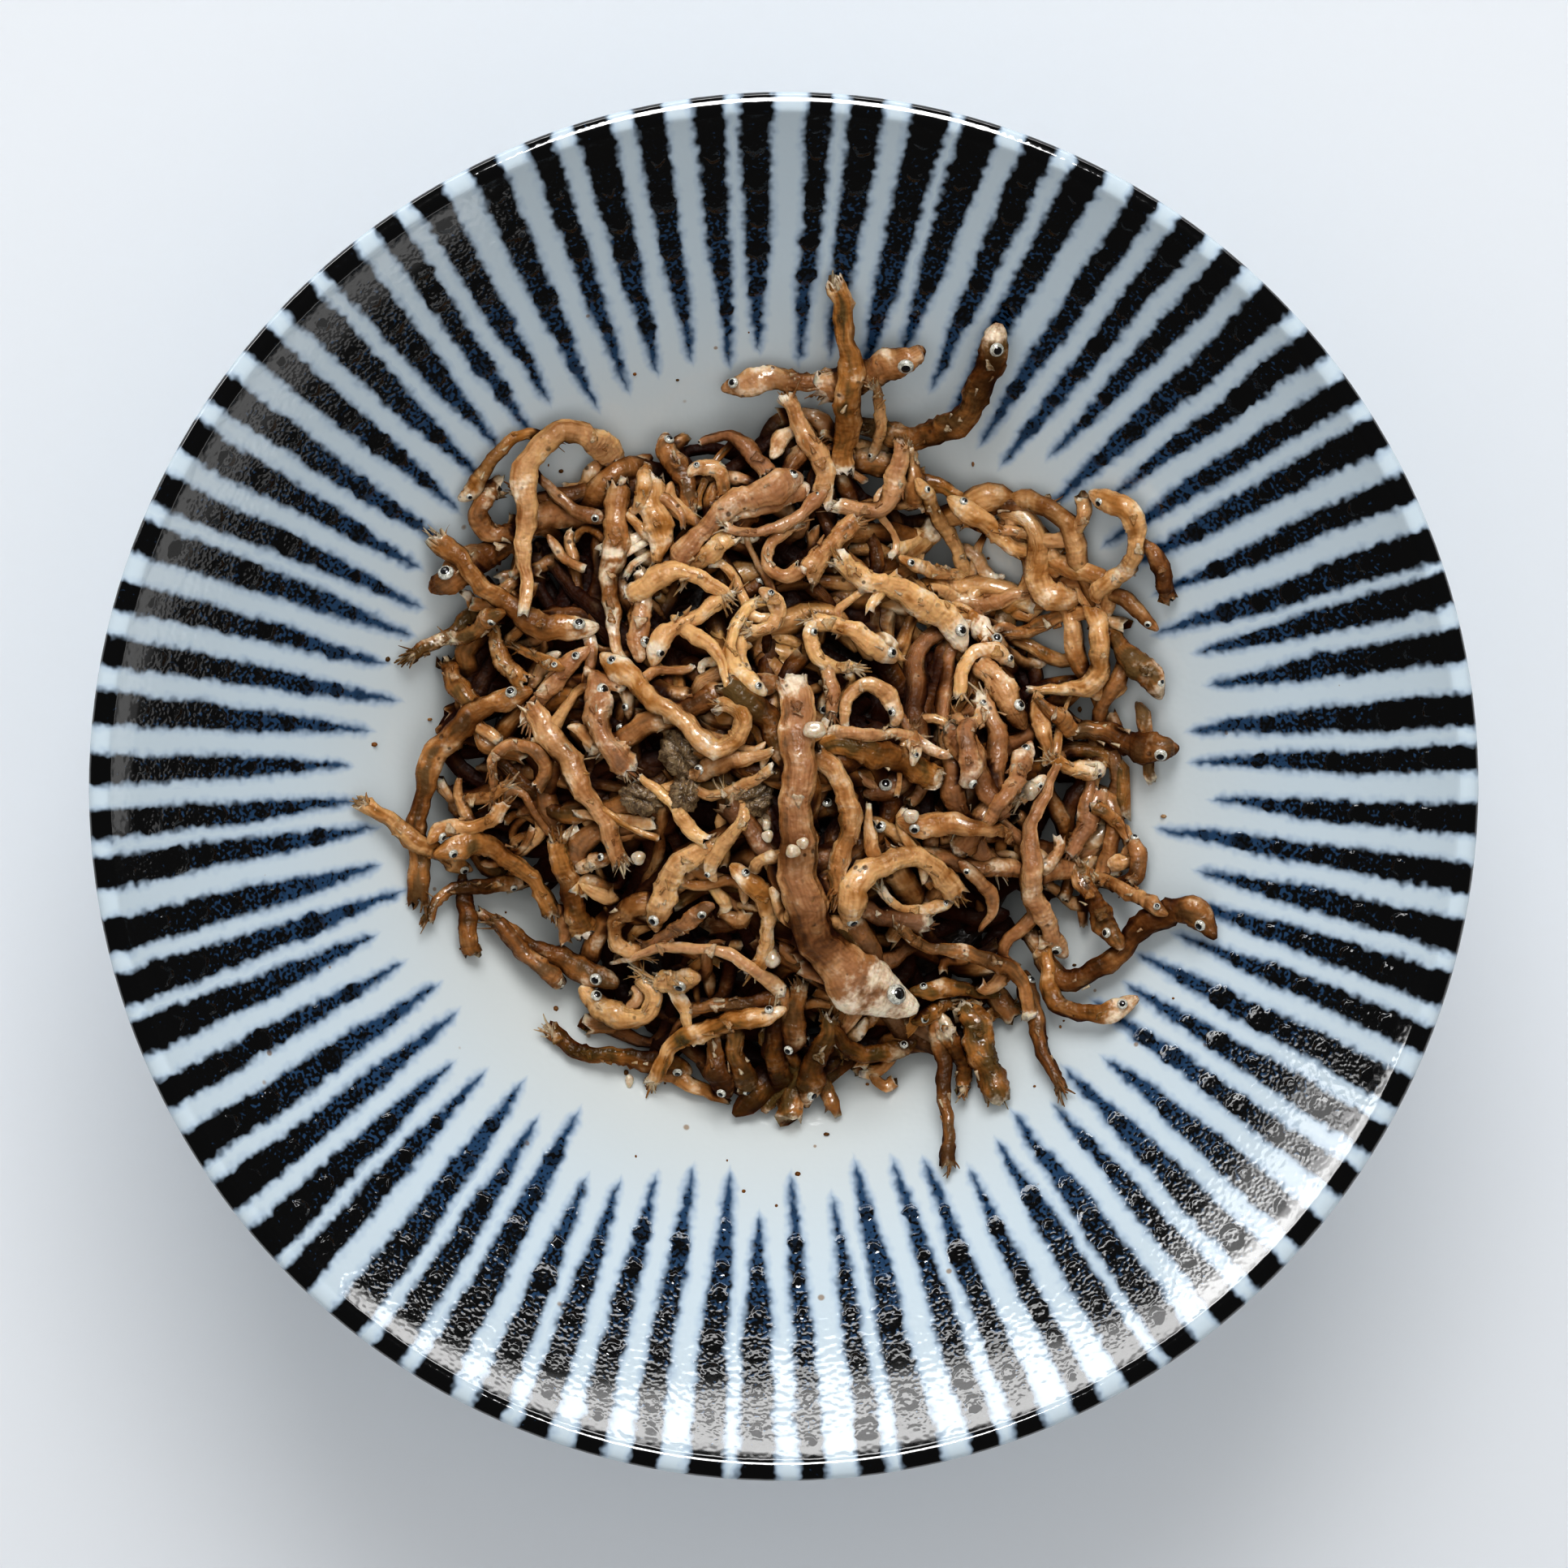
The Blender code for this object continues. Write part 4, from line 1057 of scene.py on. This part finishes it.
def glaze_material(settings):
    """White glaze with hand-painted radial stripes, which are black at the rim and blue inwards."""
    material, nodes, shader = new_material("glazed_porcelain", {"Coat Roughness": 0.05})
    place = nodes.place()
    radius, clouds, grain, fray, edge, knots = painted_stripes(nodes, place, settings)
    level = nodes.split(place)[2] * (1 / MM)
    rise = ((radius - FLOOR_RADIUS / MM) / ((WALL_TOP - FLOOR_RADIUS) / MM)).clamped()
    above = level - rise**WALL_CURVE * (WALL_RISE / MM) - FLOOR_HEIGHT / MM
    inside = (above + grain * 0.8).spread(-1.9, -1.6)
    pigment = edge.spread(-0.35, 0.25) * inside
    flecks = nodes.noise(place, 0.32)
    cover = (clouds - 0.5) * 8.0 + (flecks - 0.5) * 34.0
    deep = ((radius + cover).spread(36.5, 45.0, 0.1, 1.0) + knots * clouds * 1.5).clamped()
    ink = nodes.mix(deep * edge.spread(-0.3, 0.25), settings.blue, settings.black)
    white = nodes.mix(radius.spread(24.0, 44.0), settings.well, settings.glaze)
    halo = edge.spread(-0.75, -0.1) * inside * radius.spread(28.0, 50.0, 0.6, 0.3)
    white = nodes.mix(halo, white, settings.halo)
    specks = nodes.use(speckle_group(), Place=place, Spacing=2.6, Size=0.26, Share=0.24)[0]
    white = nodes.mix(specks * 0.75, white, linear(150, 120, 86))
    bare = (level + grain * 0.5).spread(0.9, 1.2, 1.0, 0.0)
    relief = nodes.noise(place, 0.5) * 0.013 + nodes.noise(place, 9.0) * 0.1
    raised = (knots * 0.07 + flecks * 0.02) * radius.spread(51.0, 52.5, 1.0, 0.0)
    nodes.feed(shader, {
        "Base Color": nodes.mix(bare, nodes.mix(pigment, white, ink), linear(196, 182, 160)),
        "Roughness": pigment * (fray * 0.05) + 0.06 + bare * 0.6,
        "Coat Weight": pigment * 0.6,
        "Normal": nodes.bump(relief + raised * pigment),
    })
    return material


def skin_material(name, settings, gloss):
    """Cooked fish: amber to mauve-brown flesh, ridged along the fish, with dark pigment specks, and
    painted light and shade from the tone's light value.
    """
    constants = {"Coat Roughness": 0.16, "Specular IOR Level": 0.08, "Subsurface Weight": 0.22}
    material, nodes, shader = new_material(name, constants)
    place = nodes.place()
    tone = nodes.add("ShaderNodeAttribute", attribute_name="tone").outputs
    golden, mauve, light = nodes.split(Value(nodes, tone["Color"]))
    along, around, _ = nodes.split(nodes.value("ShaderNodeUVMap", {}, uv_map="UVMap"))
    clouds, grain = nodes.use(mottle_group(), Place=place, Coarse=2.0, Fine=0.34)
    ridges = nodes.noise(nodes.join(along * (0.5 * MM), around * (1.6 * MM)), 0.5)
    folds = nodes.noise(nodes.join(along * (1.6 * MM), around * (0.5 * MM), 0.02), 0.65)
    warmth = (golden + (clouds - 0.5) * 1.3 + (ridges - 0.5) * 0.25).clamped()
    colour = nodes.mix(warmth.spread(0.0, 0.38), settings.olive, settings.brown)
    colour = nodes.mix(warmth.spread(0.34, 0.68), colour, settings.amber)
    colour = nodes.mix(warmth.spread(0.66, 1.0), colour, settings.golden)
    colour = nodes.mix(mauve * 0.7, colour, settings.mauve)
    blotches = (clouds - 0.5) * 1.8 + (grain - 0.5) * 0.6
    # The cream rises where the painted light is highest, a painted highlight; the tone's alpha is pale
    # heads and torn flesh.
    cream = (Value(nodes, tone["Alpha"]) + light.spread(0.7, 1.0) * 0.14 + blotches).spread(0.25, 0.9)
    colour = nodes.mix(cream, colour, settings.cream)
    # Painted shade: where the painted light is low the skin turns to the deep colour and is darkened, its
    # green and blue more than its red.
    colour = nodes.mix(light.spread(-0.1, 0.95), settings.deep, colour)
    shade = light.spread(0.0, 0.9, 0.32, 1.1) * ridges.spread(0.25, 0.62, 0.93, 1.04)
    colour = nodes.mix(1.0, colour, nodes.join(shade, shade**1.25, shade**1.8), "MULTIPLY")
    specks = nodes.use(speckle_group(), Place=place, Spacing=0.75, Size=0.22, Share=0.45)[0]
    sparse = specks * clouds.spread(0.5, 0.66) * 0.75
    wet = grain.spread(0.45, 0.6) * clouds.spread(0.4, 0.55)
    nodes.feed(shader, {
        "Base Color": nodes.mix(sparse, colour, linear(38, 22, 14)),
        "Roughness": grain.spread(0.3, 0.7, 0.18, 0.36) + light.spread(0.1, 0.6, 0.35, 0.0),
        "Coat Weight": wet * light.spread(0.4, 0.8, 0.0, 2.2 * gloss),
        "Normal": nodes.bump(ridges * 0.05 + folds * 0.14 + grain * 0.1),
    })
    return material


def plain_material(name):
    """A finish of two colours in clouds, with grain in its relief and its roughness."""
    colour, second, size, roughness, relief, coat, subsurface = PLAIN_FINISHES[name]
    constants = {"Coat Weight": coat, "Coat Roughness": 0.12, "Subsurface Weight": subsurface}
    material, nodes, shader = new_material(name, constants)
    clouds, grain = nodes.use(mottle_group(), Place=nodes.place(), Coarse=size, Fine=0.3 * size)
    both = clouds * 0.6 + grain * 0.4
    nodes.feed(shader, {
        "Base Color": nodes.mix(both.spread(0.38, 0.62), linear(*colour), linear(*second)),
        "Roughness": grain.spread(0.3, 0.7, 0.8 * roughness, 1.2 * roughness),
        "Normal": nodes.bump(both * relief),
    })
    return material


# Pieces


def dish_rings():
    """Radius and height of each ring, from the middle of the inside round to under the foot."""
    inner = np.linspace(FLOOR_RADIUS, WALL_TOP, 13)
    inner_foot = FOOT_RADIUS - FOOT_WIDTH
    foot_top = float(inside_height(FOOT_RADIUS)) - WALL_THICKNESS
    rings = [(radius * MM, FLOOR_HEIGHT) for radius in (4, 10, 14.5)]
    rings += [(float(radius), float(inside_height(radius))) for radius in inner]
    rings += [
        (WALL_TOP + 0.25 * MM, DISH_HEIGHT - 0.1 * MM),
        (WALL_TOP + 0.6 * MM, DISH_HEIGHT),
        (DISH_RADIUS - 0.6 * MM, DISH_HEIGHT),
        (DISH_RADIUS - 0.1 * MM, DISH_HEIGHT - 0.35 * MM),
        (DISH_RADIUS, DISH_HEIGHT - 1.1 * MM),
    ]
    for radius in inner[-2:4:-1]:
        drop = WALL_THICKNESS * math.hypot(1, float(inside_slope(radius)))
        rings.append((float(radius), float(inside_height(radius)) - drop))
    rings += [
        (FOOT_RADIUS + 0.7 * MM, foot_top - 0.1 * MM),
        (FOOT_RADIUS, foot_top - 0.9 * MM),
        (FOOT_RADIUS, 0.6 * MM),
        (FOOT_RADIUS - 0.5 * MM, 0),
        (inner_foot + 0.5 * MM, 0),
        (inner_foot, 0.6 * MM),
        (inner_foot - 0.4 * MM, FOOT_RECESS - 0.6 * MM),
        (inner_foot - 1.4 * MM, FOOT_RECESS),
        (8 * MM, FOOT_RECESS),
        (3 * MM, FOOT_RECESS),
    ]
    return rings


def model_dish():
    """The dish, extruded ring by ring from a disc as if it was thrown, then subdivided."""
    rings = dish_rings()
    deselect_all()
    bpy.ops.mesh.primitive_circle_add(
        vertices=DISH_SIDES, radius=rings[0][0], fill_type="NGON", location=(0, 0, rings[0][1])
    )
    dish = bpy.context.object
    bpy.ops.object.transform_apply(location=True, rotation=True, scale=True)
    bpy.ops.object.mode_set(mode="EDIT")
    bpy.ops.mesh.select_mode(type="EDGE")
    bpy.ops.mesh.select_all(action="SELECT")
    for (radius, height), (next_radius, next_height) in zip(rings, rings[1:]):
        bpy.ops.mesh.extrude_edges_move(
            TRANSFORM_OT_translate={"value": (0, 0, next_height - height)}
        )
        grow = next_radius / radius
        bpy.ops.transform.resize(value=(grow, grow, 1), center_override=(0, 0, 0))
    bpy.ops.mesh.edge_face_add()
    bpy.ops.mesh.select_all(action="SELECT")
    bpy.ops.mesh.normals_make_consistent(inside=False)
    bpy.ops.object.mode_set(mode="OBJECT")
    smooth = dish.modifiers.new("smooth", "SUBSURF")
    smooth.levels = smooth.render_levels = 1
    bpy.ops.object.modifier_apply(modifier=smooth.name)
    return dish


def model_core():
    """A buried mound deep in the heap, near black as painted shadow, which the gaps between the others
    look down on.
    """
    deselect_all()
    bpy.ops.mesh.primitive_uv_sphere_add(segments=72, ring_count=32, radius=1)
    core = bpy.context.object
    random = np.random.default_rng(SEEDS["core"])
    for vertex in core.data.vertices:
        bearing = math.atan2(vertex.co.y, vertex.co.x)
        reach = float(mound_reach(bearing)) - 4.5 * MM
        x, y = vertex.co.x * reach, vertex.co.y * reach
        floor = float(inside_height(math.hypot(x, y))) + GAP
        rise = max(float(mound_top(x, y)) - 3.8 * MM - floor, 0.3 * MM)
        vertex.co = (x, y, floor + (rise + random.uniform(0, 0.9) * MM if vertex.co.z > 0.01 else 0))
    return core


def model_eyes(fishes):
    """Silver rings and black pupils, set in the upward side of each head."""
    deselect_all()
    bpy.ops.mesh.primitive_uv_sphere_add(segments=12, ring_count=8, radius=1)
    ball, ball_faces = as_arrays(bpy.context.object)
    random = np.random.default_rng(SEEDS["eyes"])
    rings, pupils = Batch(), Batch()
    for fish in fishes:
        width = fish.width * MM
        side = math.copysign(random.uniform(0.3, 0.85), fish.roll)
        eye = random.uniform(0.2, 0.25) * width
        middle, along, across, upward, _ = spot(fish, min(0.76 * width / fish.length(), 0.4))
        up = math.cos(side) * upward + math.sin(side) * across
        beside = np.cross(along, up)
        centre = middle + up * 0.5 * width * (0.84 if fish.large else 0.7) * DEPTH_TO_WIDTH
        for batch, size, flat, lift in ((rings, eye, 0.6, 0.0), (pupils, 0.64 * eye, 0.5, 0.34 * eye)):
            points = ball[:, :1] * along + ball[:, 1:2] * beside + flat * ball[:, 2:] * up
            batch.add(centre + up * lift + size * points, ball_faces, (random.uniform(), 0, 0, 0))
    return rings.object("sardine_eyes"), pupils.object("sardine_pupils")


def model_fibres(fishes, count):
    """Torn strands of flesh that stick out of the broken ends and sides of the fish."""
    shape, faces = tube_shape(6, 4)
    s = shape[:, :1]
    random = np.random.default_rng(SEEDS["fibres"])
    batch = Batch()
    for _ in range(count):
        fish = fishes[random.integers(len(fishes))]
        if not fish.cut or fish.large:
            continue
        at_end = random.uniform() < 0.7
        share = random.uniform(0.94, 1.0) if at_end else random.uniform(0.2, 0.95)
        middle, along, across, upward, half = spot(fish, share)
        aside = random.normal(0, 0.4 if at_end else 0.15)
        rise = random.uniform(-0.1, 0.4 if at_end else 0.05)
        heading = math.cos(aside) * along + math.sin(aside) * across + rise * upward
        lean = random.uniform(-1.3, 1.3)
        outward = math.sin(lean) * across + DEPTH_TO_WIDTH * math.cos(lean) * upward
        length = random.uniform(0.4, 1.6 if at_end else 0.9) * MM
        size = random.uniform(0.09, 0.24) * MM
        curl = random.uniform(-0.5, 0.5, 3)
        line = middle + 0.85 * half * outward + length * s * heading + length * s**2 * curl * 0.6
        points = line + size * (1 - 0.7 * s) * (shape[:, 1:2] * across + shape[:, 2:] * upward)
        tone = (*fish.tone[:2], 0.6, random.uniform(0.1, 0.75))
        batch.add(points, faces, tone, np.column_stack((shape[:, 0] * length / MM, shape[:, 1])))
    return batch.object("flesh_fibres")


def model_flakes(fishes, count):
    """Thin flakes of skin that have come off and lie on the heap."""
    ball, faces = ball_shape(2)
    random = np.random.default_rng(SEEDS["flakes"])
    batch = Batch()
    for _ in range(count):
        fish = fishes[random.integers(len(fishes))]
        middle, along, across, upward, half = spot(fish, random.uniform(0.1, 1.0))
        turn = random.uniform(0, math.tau)
        first = math.cos(turn) * along + math.sin(turn) * across
        second = np.cross(upward, first)
        size = random.uniform(0.18, 0.6, 2) * MM
        ripple = 1 + 0.35 * np.sin(3 * np.arctan2(ball[:, 1:2], ball[:, :1]) + turn)
        points = middle + half * DEPTH_TO_WIDTH * upward
        points = points + ball[:, :1] * size[0] * ripple * first + ball[:, 1:2] * size[1] * ripple * second
        points = points + (0.12 * ball[:, 2:] + 0.25 * ball[:, :1] ** 2) * size[0] * upward
        tone = (*fish.tone[:2], 0.65, random.uniform(0.1, 0.6))
        batch.add(points, faces, tone, ball[:, :2])
    return batch.object("skin_flakes")


def wrinkled(where, phases):
    """How far out a husk's shell is in a direction: ridged, with a slit that gapes on top."""
    bearing, tilt = math.atan2(where.y, where.x), math.asin(max(-1, min(1, where.z)))
    wrinkle = 0.07 * math.sin(9 * bearing + phases[0] + 4 * tilt)
    wrinkle += 0.06 * math.sin(7 * tilt + phases[1] + 5 * bearing)
    wrinkle += 0.05 * math.sin(17 * bearing + phases[2])
    slit = bell(where.y, 0.16) * max(0, 1 - abs(where.x)) ** 0.3 if where.z > 0.1 else 0
    return 1 + wrinkle - 0.55 * slit


def model_husks(heap):
    """Split sansho husks: wrinkled shells that gape along one side."""
    deselect_all()
    made = []
    for number, (x, y, size, turn) in enumerate(HUSKS):
        bpy.ops.mesh.primitive_uv_sphere_add(segments=40, ring_count=28, radius=0.5 * size * MM)
        husk = bpy.context.object
        phases = np.random.default_rng(SEEDS["husks"] + number).uniform(0, math.tau, 3)
        for vertex in husk.data.vertices:
            vertex.co *= wrinkled(vertex.co / (0.5 * size * MM), phases)
        bpy.ops.transform.resize(value=(1.0, 0.78, 0.72))
        bpy.ops.transform.rotate(value=math.radians(turn), orient_axis="Z", center_override=(0, 0, 0))
        husk.location = (x * MM, y * MM, heap.top_at(x * MM, y * MM) - 0.15 * size * MM)
        bpy.ops.object.transform_apply(location=True, rotation=True, scale=True)
        deselect_all()
        made.append(husk)
    for husk in made:
        husk.select_set(True)
    bpy.context.view_layer.objects.active = made[0]
    bpy.ops.object.join()
    return bpy.context.object


def model_beads(heap):
    """Pale soft beads that lie among the fish."""
    ball, faces = ball_shape(3, 0.5)
    random = np.random.default_rng(SEEDS["beads"])
    batch = Batch()
    for x, y, size in BEADS:
        phases = random.uniform(0, math.tau, 3)
        dent = 1 + 0.12 * np.sin(6 * ball + phases).sum(1, keepdims=True)
        centre = np.array((x * MM, y * MM, heap.top_at(x * MM, y * MM, 0.5 * MM) + 0.15 * size * MM))
        stretch = random.uniform(0.75, 1.1, 3) * (1, 1, 0.75)
        batch.add(centre + ball * dent * stretch * size * MM, faces, (0.5, 0, 0, 1))
    return batch.object("pale_beads")


def model_crumbs(count):
    """Brown crumbs on the dish around the heap."""
    ball, faces = ball_shape(1)
    random = np.random.default_rng(SEEDS["crumbs"])
    batch = Batch()
    for _ in range(count):
        bearing = random.uniform(0, math.tau)
        radius = float(mound_reach(bearing)) + abs(random.normal(1.5, 4.0)) * MM
        size = random.uniform(0.08, 0.22) * MM
        height = float(inside_height(radius)) + 0.5 * size
        centre = np.array((radius * math.cos(bearing), radius * math.sin(bearing), height))
        points = centre + ball * random.uniform(0.6, 1.5, 3) * size
        batch.add(points, faces, (random.uniform(0, 0.6), 0, 0.5, 0.1))
    return batch.object("crumbs")


# Settings


def colour_setting(name, description, *colour):
    return bpy.props.FloatVectorProperty(
        name=name, description=description, default=linear(*colour), subtype="COLOR", size=3, min=0, max=1
    )


def length_setting(name, description, value):
    return bpy.props.FloatProperty(
        name=name, description=description, default=value, min=0, subtype="DISTANCE", unit="LENGTH"
    )


def power_setting(name, description, value):
    return bpy.props.FloatProperty(name=name, description=description, default=value, min=0)


def count_setting(name, description, value):
    return bpy.props.IntProperty(name=name, description=description, default=value, min=0)


class SardineDishSettings(bpy.types.PropertyGroup):
    """Glaze and stripes of the dish."""

    stripes: bpy.props.IntProperty(name="Stripes", description="Stripes round the dish", default=76, min=8)
    tip_radius: length_setting("Tip radius", "Where the stripes come to a point", 33 * MM)
    glaze: colour_setting("Glaze", "White glaze near the rim", 214, 229, 239)
    well: colour_setting("Well", "White glaze in the middle", 213, 217, 215)
    halo: colour_setting("Halo", "Glaze tinted by the blue beside it", 134, 166, 202)
    blue: colour_setting("Blue", "Thin pigment at the tips and edges", 46, 78, 112)
    black: colour_setting("Black", "Thick pigment towards the rim", 5, 6, 8)


class SardineFishSettings(bpy.types.PropertyGroup):
    """Colours and numbers of the fish."""

    tucked: count_setting("Tucked fish", "Fish in the gaps", 290)
    scraps: count_setting("Scraps", "Broken bits of fish", 200)
    fibres: count_setting("Fibres", "Torn strands of flesh", 2400)
    flakes: count_setting("Flakes", "Loose flakes of skin", 150)
    crumbs: count_setting("Crumbs", "Crumbs on the dish", 70)
    # Painted shade: the colour the skin turns to where its painted light is low, in the gaps and deep in
    # the heap.
    deep: colour_setting("Deep", "Skin soaked with sauce, deep in the heap", 70, 28, 5)
    olive: colour_setting("Olive", "Darkest skin, low in the heap", 88, 70, 34)
    brown: colour_setting("Brown", "Plain cooked skin", 164, 110, 52)
    amber: colour_setting("Amber", "Skin with some glaze", 212, 163, 108)
    golden: colour_setting("Golden", "Skin that shines through", 230, 182, 120)
    mauve: colour_setting("Mauve", "Greyish flesh", 166, 120, 92)
    cream: colour_setting("Cream", "Heads and torn flesh", 242, 220, 190)


class SardineStageSettings(bpy.types.PropertyGroup):
    """Table, light and camera."""

    table: colour_setting("Table", "Pale table top", 236, 240, 245)
    ceiling: power_setting("Ceiling", "Power of the wide soft light", 12.5)
    window: power_setting("Window", "Power of the high window", 5.6)
    pane: power_setting("Pane", "Power of the glint on wet skin", 14)
    far_window: power_setting("Far window", "Power of the low window", 9.8)
    side_window: power_setting("Side window", "Power of the low window beside it", 1.4)
    far_glow: power_setting("Far glow", "Power of the low light opposite", 0.45)
    distance: length_setting("Camera distance", "From the rim's middle", 450 * MM)


# Operators


def heap_of(context):
    """The heap as the scene's settings ask for it."""
    settings = context.scene.sardine_fish
    return cooked_heap(SEED, settings.tucked, settings.scraps)


class SARDINES_OT_dish(bpy.types.Operator):
    """Make the striped dish"""

    bl_idname = "sardines.dish"
    bl_label = "Striped dish"

    def execute(self, context):
        glaze = glaze_material(context.scene.sardine_dish)
        dish = finish_piece(model_dish(), "striped_dish", glaze)
        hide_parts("dish")
        return {"FINISHED"}


class SARDINES_OT_core(bpy.types.Operator):
    """Make the heap's buried heart, dark as painted shadow"""

    bl_idname = "sardines.core"
    bl_label = "Heart of the heap"

    def execute(self, context):
        core = finish_piece(model_core(), "heap_core", plain_material("heap_shadow"), smooth=False)
        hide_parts("sardine_heap")
        return {"FINISHED"}


class SARDINES_OT_fish(bpy.types.Operator):
    """Make the sardines, the whole and the broken ones"""

    bl_idname = "sardines.fish"
    bl_label = "Sardines"

    def execute(self, context):
        heap, shown, tucked, scraps = heap_of(context)
        skin = skin_material("sardine_skin", context.scene.sardine_fish, gloss=0.32)
        large = [fish for fish in shown if fish.large]
        whole = [fish for fish in shown if THIN_WIDTH <= fish.width < LARGE_WIDTH]
        thin = [fish for fish in shown if fish.width < THIN_WIDTH]
        for name, fishes, rings, sides in (
            ("large_sardine", large, 90, 36),
            ("whole_sardines", whole, 44, 14),
            ("thin_sardines", thin, 34, 10),
            ("tucked_sardines", tucked, 18, 8),
            ("sardine_scraps", scraps, 12, 8),
        ):
            finish_piece(fish_batch(name, fishes, rings, sides, heap), name, skin)
        return {"FINISHED"}


class SARDINES_OT_eyes(bpy.types.Operator):
    """Make the silver eyes and their pupils"""

    bl_idname = "sardines.eyes"
    bl_label = "Eyes"

    def execute(self, context):
        _, shown, tucked, _ = heap_of(context)
        random = np.random.default_rng(SEEDS["tucked_eyes"])
        seen = [fish for fish in shown if fish.headed]
        seen += [fish for fish in tucked if fish.headed and random.uniform() < 0.2]
        eyes, pupils = model_eyes(seen)
        finish_piece(eyes, "sardine_eyes", plain_material("eye_silver"))
        finish_piece(pupils, "sardine_pupils", plain_material("pupil_black"))
        return {"FINISHED"}


class SARDINES_OT_fragments(bpy.types.Operator):
    """Make the fibres, flakes, beads and crumbs"""

    bl_idname = "sardines.fragments"
    bl_label = "Fibres and crumbs"

    def execute(self, context):
        settings = context.scene.sardine_fish
        heap, shown, _, _ = heap_of(context)
        flesh = skin_material("torn_flesh", settings, gloss=0.1)
        finish_piece(model_fibres(shown, settings.fibres), "flesh_fibres", flesh)
        finish_piece(model_flakes(shown, settings.flakes), "skin_flakes", flesh)
        finish_piece(model_crumbs(settings.crumbs), "crumbs", flesh)
        finish_piece(model_beads(heap), "pale_beads", plain_material("soft_fat"))
        return {"FINISHED"}


class SARDINES_OT_husks(bpy.types.Operator):
    """Make the sansho husks"""

    bl_idname = "sardines.husks"
    bl_label = "Sansho husks"

    def execute(self, context):
        heap, _, _, _ = heap_of(context)
        finish_piece(model_husks(heap), "sansho_husks", plain_material("husk_rind"))
        return {"FINISHED"}


class SARDINES_OT_stage(bpy.types.Operator):
    """Set the table, the light and the camera"""

    bl_idname = "sardines.stage"
    bl_label = "Stage"

    def execute(self, context):
        settings = context.scene.sardine_stage
        self.lay_table(settings)
        self.hang_lights(context, settings)
        self.aim_camera(context, settings)
        context.scene.view_settings.view_transform = "Standard"
        context.scene.view_settings.look = "Medium High Contrast"
        return {"FINISHED"}

    def lay_table(self, settings):
        """A matte table top, a little below the foot."""
        deselect_all()
        bpy.ops.mesh.primitive_plane_add(size=4, location=(0, 0, -0.1 * MM))
        table = bpy.context.object
        table.name = "table"
        material, nodes, shader = new_material("table_top", {"Roughness": 1.0, "Specular IOR Level": 0.0})
        nodes.feed(shader, {"Base Color": settings.table})
        table.data.materials.append(material)

    def hang_lights(self, context, settings):
        """Soft lights all aimed at the rim's middle, and a dim warm room."""
        for name, place, size, lights in LIGHTS:
            bpy.ops.object.light_add(type="AREA", location=place)
            light = bpy.context.object
            light.name = name
            light.data.shape = "RECTANGLE"
            light.data.size, light.data.size_y = size
            light.data.energy = getattr(settings, name)
            light.visible_diffuse, light.visible_glossy = lights, not lights
            light.rotation_euler = (FOCUS - Vector(place)).to_track_quat("-Z", "Y").to_euler()
        world = bpy.data.worlds.new("studio")
        world.use_nodes = True
        background = world.node_tree.nodes["Background"].inputs
        background["Color"].default_value = (1.0, 0.96, 0.9, 1)
        background["Strength"].default_value = 0.08
        context.scene.world = world

    def aim_camera(self, context, settings):
        """A camera nearly straight above, with the same picture width from any distance."""
        behind = CAMERA_SIDE.normalized()
        right = Vector((0, 1, 0)).cross(behind).normalized()
        turned = Matrix((right, behind.cross(right), behind)).transposed().to_euler()
        bpy.ops.object.camera_add(location=FOCUS + settings.distance * behind, rotation=turned)
        camera = bpy.context.object
        camera.name = "camera"
        camera.data.sensor_width = SENSOR_WIDTH
        camera.data.lens = SENSOR_WIDTH * settings.distance / PICTURE_WIDTH
        camera.data.clip_start = 0.01
        context.scene.camera = camera


class SARDINES_PT_panel(bpy.types.Panel):
    """Panel with the dish's settings and the steps that build it"""

    bl_label = "Sardines with sansho"
    bl_idname = "SARDINES_PT_panel"
    bl_space_type = "VIEW_3D"
    bl_region_type = "UI"
    bl_category = "Sardines"

    def draw(self, context):
        scene = context.scene
        for settings in (scene.sardine_dish, scene.sardine_fish, scene.sardine_stage):
            box = self.layout.box()
            for name in settings.__annotations__:
                box.prop(settings, name)
        for step in STEPS:
            self.layout.operator(step.bl_idname)


STEPS = (
    SARDINES_OT_stage,
    SARDINES_OT_dish,
    SARDINES_OT_core,
    SARDINES_OT_fish,
    SARDINES_OT_eyes,
    SARDINES_OT_fragments,
    SARDINES_OT_husks,
)
GROUPS = {
    "sardine_dish": SardineDishSettings,
    "sardine_fish": SardineFishSettings,
    "sardine_stage": SardineStageSettings,
}


def register():
    for kind in (*GROUPS.values(), *STEPS, SARDINES_PT_panel):
        bpy.utils.register_class(kind)
    for name, kind in GROUPS.items():
        setattr(bpy.types.Scene, name, bpy.props.PointerProperty(type=kind))


def unregister():
    for name in GROUPS:
        delattr(bpy.types.Scene, name)
    for kind in reversed((*GROUPS.values(), *STEPS, SARDINES_PT_panel)):
        bpy.utils.unregister_class(kind)


def main():
    register()
    bpy.ops.sardines.stage()
    bpy.ops.sardines.dish()
    bpy.ops.sardines.core()
    bpy.ops.sardines.fish()
    bpy.ops.sardines.eyes()
    bpy.ops.sardines.fragments()
    bpy.ops.sardines.husks()


if __name__ == "__main__":
    main()
